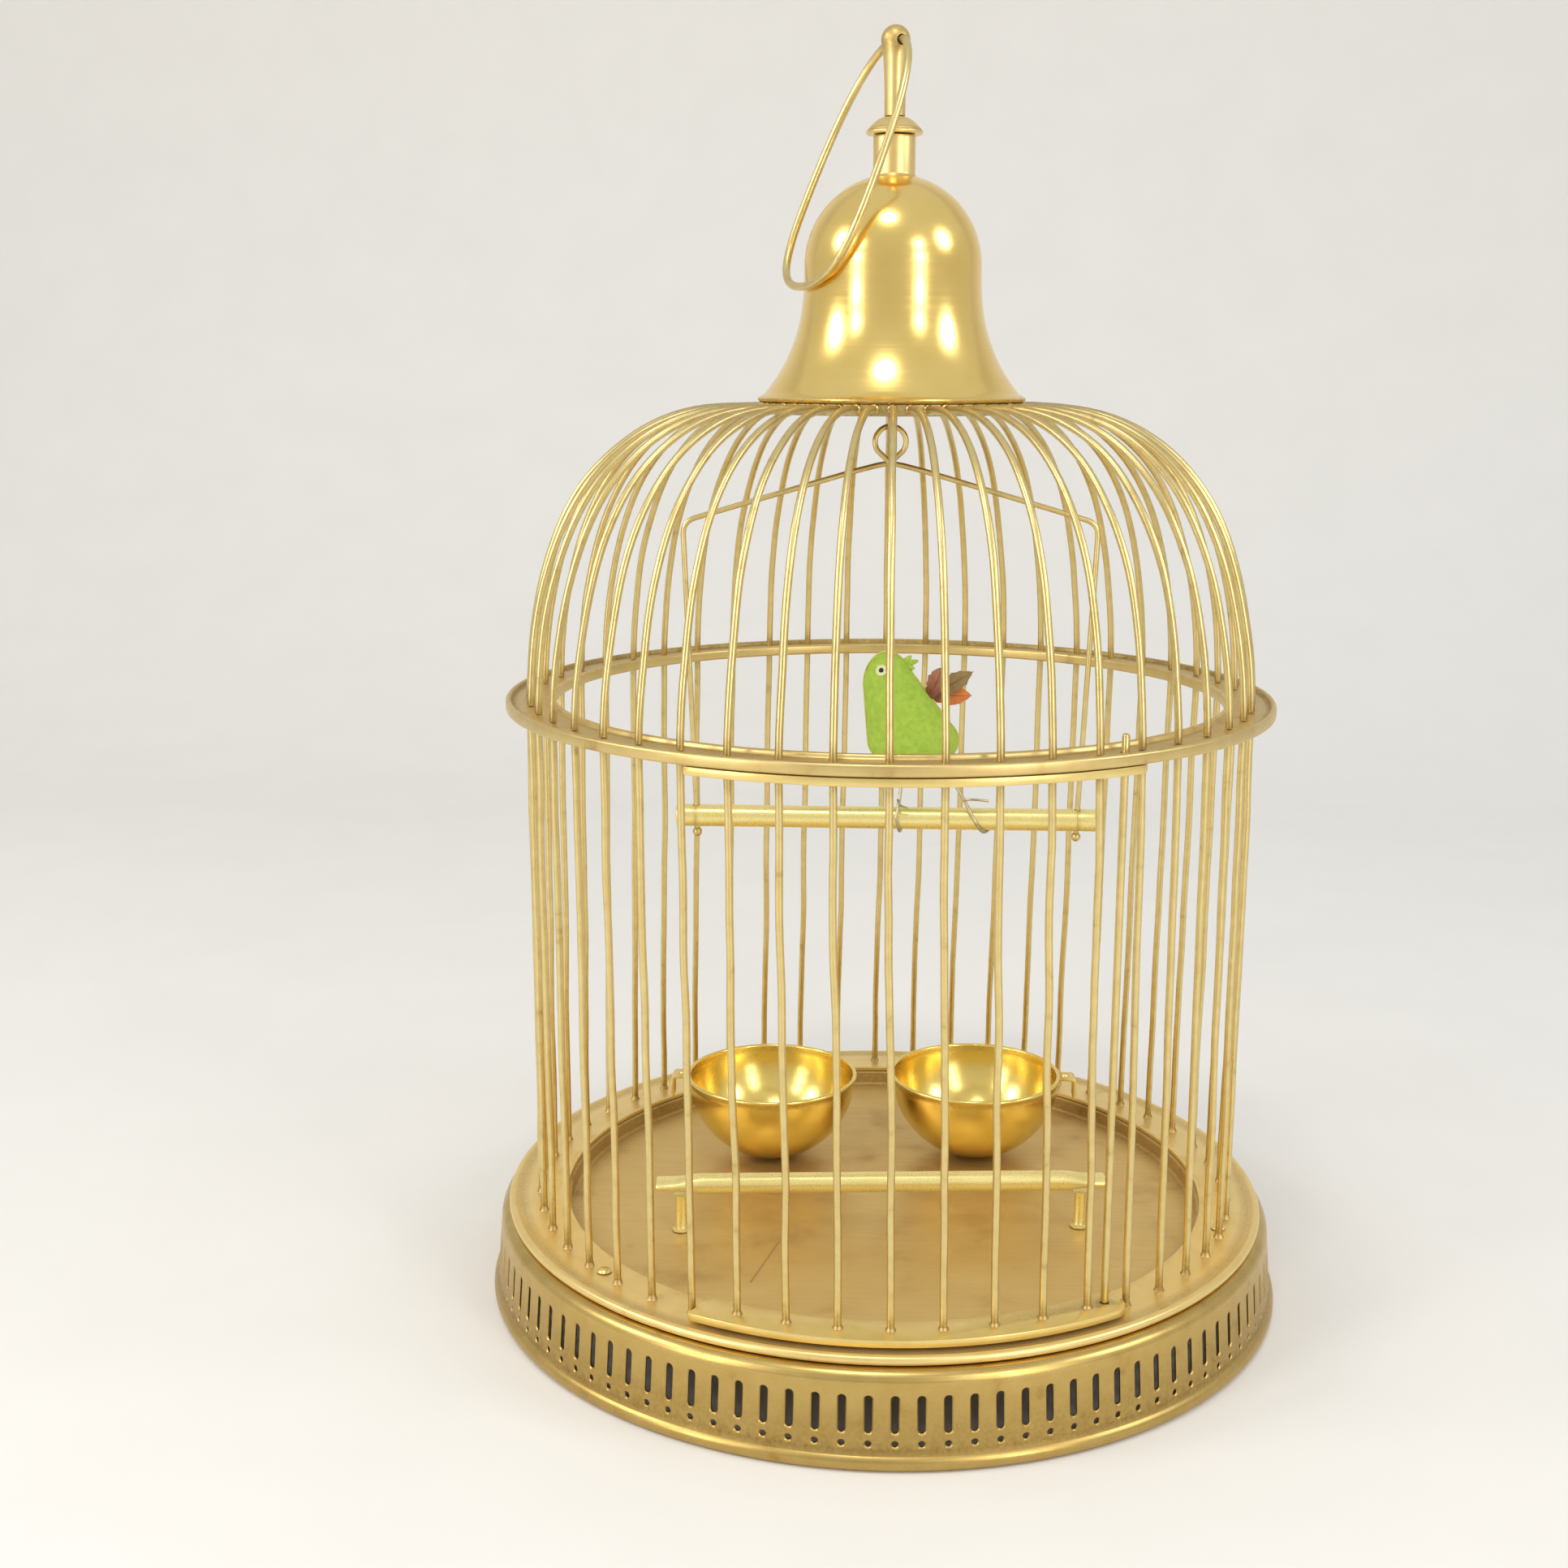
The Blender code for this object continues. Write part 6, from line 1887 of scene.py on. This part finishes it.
    def feather(self, number: int) -> Mesh:
        """Builds one feather's cupped vane, with its edge parted into tufts.

        Args:
            number: which of the fan it is.

        Returns:
            The mesh.
        """
        root, turn = self.feather_place(number)
        length = self.feathers[number][1]
        bm = bmesh.new()
        along = bm.verts.layers.float.new("along")
        barb = bm.verts.layers.float.new("barb")
        grid = []
        for face_y in (-0.5 * self.feather_thick, 0.5 * self.feather_thick):
            sheet = []
            for t in [i / 26.0 for i in range(27)]:
                half = 0.5 * self.feather_width * sin(pi * min(1.0, 0.10 + 0.93 * t) ** 1.35) ** 0.7
                line = []
                for v in [k / 4.0 - 1.0 for k in range(9)]:
                    ragged = 1.0 + 0.22 * noise.noise(Vector((number * 7.1, t * 11.0, v)))
                    ragged -= 0.16 * abs(v) * ((6.0 * t + 0.4 * number) % 1.0)
                    cup = 0.5 * MM * v * v * (1.0 - number * 0.3)
                    across = half * v * ragged + 0.8 * MM * t * t
                    point = Vector((length * (t - 0.10 * abs(v) * (1.0 - t)), face_y + cup, across))
                    vert = bm.verts.new(root + turn @ point)
                    vert[along] = t
                    vert[barb] = self.barbs * (t + 0.25 * abs(v))
                    line.append(vert)
                sheet.append(line)
            for low, high in zip(sheet, sheet[1:]):
                for k in range(8):
                    bm.faces.new((low[k], low[k + 1], high[k + 1], high[k]))
            grid.append(sheet)
        rims = []
        for rows in grid:
            right, left = [row[-1] for row in rows[1:]], [row[0] for row in rows[-2:0:-1]]
            rims.append(rows[0] + right + rows[-1][-2::-1] + left)
        join_rings(bm, rims)
        return to_mesh(f"bird_feather_vane_{number + 1}", bm)

    def build_feathers(self) -> None:
        """Builds the fan of feathers and the shaft of each."""
        shaft = [(-0.10, 0.0), (0.02, 0.0), (0.30, 0.05), (0.60, 0.3), (0.90, 0.65)]
        radii = [r * MM for r in (0.40, 0.42, 0.34, 0.26, 0.20)]
        for number, look in enumerate(self.looks.feathers):
            nodes = [f"bird_feather_{number + 1}"]
            place(self.feather(number), "swing", "feather", nodes, look)
            root, turn = self.feather_place(number)
            length = self.feathers[number][1]
            points = [root + turn @ Vector((share * length, 0.0, rise * MM)) for share, rise in shaft]
            mesh = swept(f"bird_feather_shaft_{number + 1}", points, radii, 8)
            place(mesh, "swing", "feather", nodes, look)

    def build_legs(self) -> None:
        """Builds the two leg wires, each bent out of the belly and wound on the bar."""
        wrap = arc((0.0, PERCH), PERCH_R + self.leg_r + 0.15 * MM, 165.0, 395.0, 30)
        left_toe = [(4.3, -3.4, 186.2), (5.2, -5.3, 184.6), (8.0, -4.9, 183.4)]
        right_toe = [(28.4, -3.4, 186.4), (32.0, -5.2, 187.0), (37.6, -4.6, 186.4)]
        for name, top, foot, drift, toe in (
            ("bird_leg_left", -4.0 * MM, -5.8 * MM, 3.5 * MM, left_toe),
            ("bird_leg_right", 9.8 * MM, 22.6 * MM, 10.5 * MM, right_toe),
        ):
            share = top / self.body_radii.x
            belly = self.body.z - self.body_radii.z * sqrt(1.0 - share * share)
            start = Vector((self.body.x + top, 0.0, belly + 1.0 * MM))
            coil = [Vector((self.body.x + foot + drift * i / 30.0, y, z)) for i, (y, z) in enumerate(wrap)]
            knee = start.lerp(coil[0], 0.5) + Vector((0.6 * MM, 0.3 * MM, 0.0))
            leg = smooth_path([start, knee, coil[0]], 8)[:-1] + coil
            tip = smooth_path([Vector(p) * MM for p in toe], 6)
            leg_radii = [self.leg_r] * (len(leg) - 1) + [0.6 * self.leg_r]
            toe_radii = [0.75 * self.leg_r] * len(tip)
            for label, path, radii in (("bent", leg, leg_radii), ("toe", tip, toe_radii)):
                wire = swept(f"{name}_{label}", path, radii, 8)
                place(wire, "swing", "leg_wire", [name], self.looks.leg_wire)

    def build(self) -> None:
        """Builds the whole bird."""
        self.build_body()
        self.build_eyes()
        self.build_crest()
        self.build_feathers()
        self.build_legs()


# Cups and floor perch


@dataclass
class Cup:
    """A deep round cup with a hanging lug, which lifts off the floor.

    It is the node called name, on the body called body, and stands at spot. Its lug points to its side.
    """

    looks: Finishes
    name: str
    body: str
    side: float
    spot: Vector
    radius: float = 33.5 * MM
    rim: float = FLOOR + GAP + 33.5 * MM
    sheet: float = 1.0 * MM
    lip_r: float = 0.85 * MM
    lug_width: float = 8.0 * MM
    lug_reach: float = 7.0 * MM
    lug_drop: float = 9.0 * MM
    lug_thick: float = 1.2 * MM

    def build_bowl(self) -> None:
        """Builds the bowl with its rolled lip."""
        low = self.rim - self.radius
        outer = arc((0.0, self.rim), self.radius, -90.0, -2.0, 30)
        lip = arc((self.radius - 0.15 * MM, self.rim + 0.1 * MM), self.lip_r, -50.0, 200.0, 12)
        inner = arc((0.0, self.rim), self.radius - self.sheet, -2.0, -90.0, 30)
        profile = [(0.0, low)] + outer[1:] + lip + inner[:-1] + [(0.0, low + self.sheet)]
        # Painted shade with tarnish: the bowl darkens at its bottom, most near the floor, and in a band just
        # under the rolled lip.
        place(
            turned(f"{self.name}_bowl", profile, 96, self.spot), self.body, "polished_brass", [self.name],
            self.looks.cup,
            lambda p: 0.55 * near(p.z, low, 5.0 * MM) + 0.6 * near(p.z, self.rim - 1.0 * MM, 1.0 * MM),
        )

    def build_lug(self) -> None:
        """Builds the bent strap and the rivet that holds it."""
        root = self.radius - 0.7 * self.sheet
        end = self.radius + self.lug_reach
        back, foot, under = end - self.lug_thick, self.rim - self.lug_drop, self.rim - self.lug_thick
        corners = [(root, self.rim, 0.0), (end, self.rim, 2.0 * MM)]
        corners += [(end, foot, 0.5 * MM), (back, foot, 0.5 * MM)]
        outline = rounded(corners + [(back, under, 1.0 * MM), (root, under, 0.0)], 5)
        edge = self.spot - Vector((0.0, self.lug_width / 2.0, 0.0))
        bm = bmesh.new()
        points = [edge + Vector((self.side * u, 0.0, z)) for u, z in outline]
        add_plate(bm, points, Vector((0.0, self.lug_width, 0.0)))
        bevel(bm, 0.25 * MM)
        # Painted shade with tarnish: the lug darkens where the strap meets the bowl.
        place(
            to_mesh(f"{self.name}_lug", bm), self.body, "polished_brass", [self.name], self.looks.brass,
            lambda p: 0.6 * near((p - self.spot).xy.length, self.radius, 1.5 * MM),
        )
        rivet = [(0.0, -0.5), (1.7, -0.5), (1.6, 0.2), (1.1, 0.75), (0.5, 0.95), (0.0, 1.0)]
        seat = self.spot + Vector((self.side * (root + 3.4 * MM), 0.0, self.rim))
        mesh = turned(f"{self.name}_rivet", [(r * MM, z * MM) for r, z in rivet], 20, seat)
        place(mesh, self.body, "polished_brass", [self.name], self.looks.polished)

    def build(self) -> None:
        """Builds the cup."""
        self.build_bowl()
        self.build_lug()


@dataclass
class FloorPerch:
    """The low tube on two short legs, its ends pinched flat."""

    looks: Finishes
    radius: float = 3.75 * MM
    half: float = 83.0 * MM
    end: float = 8.5 * MM
    y: float = -30.2 * MM
    yaw_deg: float = 4.5
    leg_h: float = 14.0 * MM
    leg_r: float = 2.0 * MM
    leg_x: float = 74.0 * MM
    foot_r: float = 3.4 * MM

    def build(self) -> None:
        """Builds the tube and its legs."""
        turn = Matrix.Rotation(radians(self.yaw_deg), 3, "Z")
        middle = Vector((0.0, self.y, 0.0))
        low = FLOOR + GAP
        top = low + self.leg_h
        pinch = [(0.7, 0.60, 1.26), (1.0, 0.66, 1.22), (1.3, 0.80, 1.12), (1.6, 0.92, 1.05), (1.9, 1.0, 1.0)]
        half = [(self.half, 0.48, 1.20), (self.half - 0.5 * MM, 0.58, 1.28)]
        half += [(self.half - share * self.end, tall, wide) for share, tall, wide in pinch]
        half += [(self.half * i / 12.0, 1.0, 1.0) for i in (9, 8, 6, 4, 2, 0)]
        bm = bmesh.new()
        stations = [(x, self.radius * tall, self.radius * wide) for x, tall, wide in half]
        add_bar(bm, middle + UP * (top + GAP + self.radius), turn, stations)
        # Painted shade with tarnish: the tube darkens above each post, near its pinched ends.
        place(
            to_mesh("floor_perch_tube", bm), "cage", "brass", ["floor_perch_bar"], self.looks.tube,
            lambda p: 0.25 * near(abs(p.x), self.half - 1.1 * self.end, 3.0 * MM),
        )
        profile = [(0.0, low), (self.foot_r, low), (self.foot_r, low + 0.5 * MM)]
        profile += [(self.leg_r + 0.4 * MM, low + 1.1 * MM)]
        profile += [(self.leg_r, z) for z in (low + 2.2 * MM, low + 5.0 * MM, top - 1.4 * MM)]
        profile += [(self.leg_r + 0.6 * MM, top), (0.0, top)]
        for side, name in ((-1.0, "left"), (1.0, "right")):
            foot = middle + turn @ Vector((side * self.leg_x, 0.0, 0.0))
            # Painted shade with tarnish: each post darkens at its foot on the tray.
            place(
                turned(f"floor_perch_post_{name}", profile, 24, foot), "cage", "brass",
                [f"floor_perch_leg_{name}"], self.looks.tube, lambda p: 0.5 * near(p.z, FLOOR, 2.5 * MM),
            )


# The studio


@dataclass(frozen=True)
class Lamp:
    """One soft box: where it stands, what it looks at, its size, its power in watts and its colour."""

    name: str
    place: Triple
    target: Triple
    size: Pair
    watts: float
    colour: str

    def build(self) -> None:
        """Builds the lamp."""
        light = bpy.data.lights.new(self.name, "AREA")
        light.shape = "ELLIPSE"
        light.size, light.size_y = self.size
        light.energy = self.watts
        light.color = linear(self.colour)[:3]
        obj = bpy.data.objects.new(self.name, light)
        obj.location = self.place
        obj.rotation_euler = (Vector(self.target) - obj.location).to_track_quat("-Z", "Y").to_euler()
        bpy.context.scene.collection.objects.link(obj)


def strip(name: str, place: Triple, height: float) -> Lamp:
    """Gives one of the small soft boxes that the bell mirrors."""
    return Lamp(name, place, (0.0, 0.0, 0.37), (0.27, height), 1.3, "FFFAF2")


@dataclass
class Studio:
    """The pale paper sweep, the soft boxes, the sky and the camera; the lens is in millimetres."""

    camera: Triple = (0.0, -0.70597, 0.34173)
    pitch_deg: float = 12.045
    yaw_deg: float = 3.069
    roll_deg: float = 0.093
    lens: float = 44.77
    sweep_half: float = 2.6
    sweep_back: float = 1.5
    sweep_front: float = -2.2
    sweep_round: float = 0.7
    sweep_top: float = 2.4
    tooth: float = 60.0 * MM
    sky: float = 0.94
    lamps: tuple[Lamp, ...] = (
        Lamp("left_disc", (-1.62, -0.42, 1.16), (0.0, 0.0, 0.25), (0.62, 0.62), 7.6, "FFFAF2"),
        Lamp("right_disc", (1.58, -0.46, 1.18), (0.0, 0.0, 0.25), (0.62, 0.62), 6.0, "F8FAFF"),
        Lamp("front_top_disc", (-0.15, -0.85, 1.85), (0.0, 0.0, 0.2), (0.44, 0.30), 5.9, "FFFCF6"),
        strip("left_strip_high", (-0.84, -0.80, 0.88), 0.26),
        strip("left_strip_mid", (-0.88, -0.84, 0.58), 0.24),
        strip("left_strip_low", (-0.88, -0.84, 0.28), 0.24),
        strip("right_strip_high", (0.65, -0.94, 0.88), 0.26),
        strip("right_strip_mid", (0.68, -0.98, 0.58), 0.24),
        strip("right_strip_low", (0.68, -0.98, 0.28), 0.24),
    )

    def build_sweep(self) -> None:
        """Builds the paper that is floor in front and wall behind."""
        bend = (self.sweep_back - self.sweep_round, self.sweep_round)
        section = [(self.sweep_front, 0.0)] + arc(bend, self.sweep_round, -90.0, 0.0, 24)
        section += [(self.sweep_back, self.sweep_top)]
        bm = bmesh.new()
        rows = [[bm.verts.new((x, y, z)) for x in (-self.sweep_half, self.sweep_half)] for y, z in section]
        for low, high in zip(rows, rows[1:]):
            bm.faces.new((low[0], low[1], high[1], high[0]))
        # Matt background paper, very slightly warm, with its faint tooth.
        material, node, shader, spot = start_material("sweep_paper")
        grain = {"Vector": spot, "Scale": 1.0 / self.tooth, "Detail": 2.0}
        tones = {0: node("ShaderNodeTexNoise", grain), 6: linear("E9E7E3"), 7: linear("E4E2DE")}
        colour = node("ShaderNodeMix", tones, data_type="RGBA").outputs[2]
        feed(shader, {"Base Color": colour, "Roughness": 0.9})
        mesh = to_mesh("paper_sweep", bm, turn_out=False)
        mesh.materials.append(material)
        paper = bpy.data.objects.new("paper_sweep", mesh)
        bpy.context.scene.collection.objects.link(paper)

    def build_sky(self) -> None:
        """Builds the room's own light: dim, a little brighter above than below."""
        world = bpy.data.worlds.new("room")
        world.use_nodes = True
        bpy.context.scene.world = world
        tree = world.node_tree
        way = add_node(tree, "ShaderNodeTexCoord").outputs["Generated"]
        height = add_node(tree, "ShaderNodeSeparateXYZ", {"Vector": way}).outputs["Z"]
        rise = add_node(tree, "ShaderNodeMapRange", {"Value": height, "From Min": -0.3, "From Max": 0.9})
        tones = {0: rise, 6: linear("CFCBC4"), 7: linear("E2E5E8")}
        colour = add_node(tree, "ShaderNodeMix", tones, data_type="RGBA").outputs[2]
        feed(tree.nodes["Background"], {"Color": colour, "Strength": self.sky})

    def build_camera(self) -> None:
        """Sets the camera where the photograph was taken from."""
        data = bpy.data.cameras.new("view")
        data.lens = self.lens
        data.sensor_width = 36.0
        camera = bpy.data.objects.new("view", data)
        look = Matrix.Translation(self.camera)
        for angle, axis in ((self.yaw_deg, "Z"), (90.0 - self.pitch_deg, "X"), (self.roll_deg, "Z")):
            look = look @ Matrix.Rotation(radians(angle), 4, axis)
        camera.matrix_world = look
        bpy.context.scene.collection.objects.link(camera)
        bpy.context.scene.camera = camera

    def build(self) -> None:
        """Builds the studio."""
        self.build_sweep()
        for lamp in self.lamps:
            lamp.build()
        self.build_sky()
        self.build_camera()
        bpy.context.scene.view_settings.view_transform = "Standard"


def main() -> None:
    """Builds every sub-assembly in order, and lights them."""
    logging.basicConfig(level=logging.INFO, format="%(name)s %(message)s")
    looks = Finishes()
    trees = Trees()
    cage = Cage(looks, trees)
    bail = Bail(looks)
    bell = Bell(looks, bail.axis)
    Base(looks, trees).build()
    cage.build()
    Door(cage).build()
    bell.build()
    bail.build(bell)
    Swing(looks).build()
    Bird(looks, trees).build()
    Cup(looks, "cup_left", "left_cup", -1.0, Vector((-44.6 * MM, 38.5 * MM, 0.0))).build()
    Cup(looks, "cup_right", "right_cup", 1.0, Vector((37.3 * MM, 44.0 * MM, 0.0))).build()
    FloorPerch(looks).build()
    Studio().build()


if __name__ == "__main__":
    main()
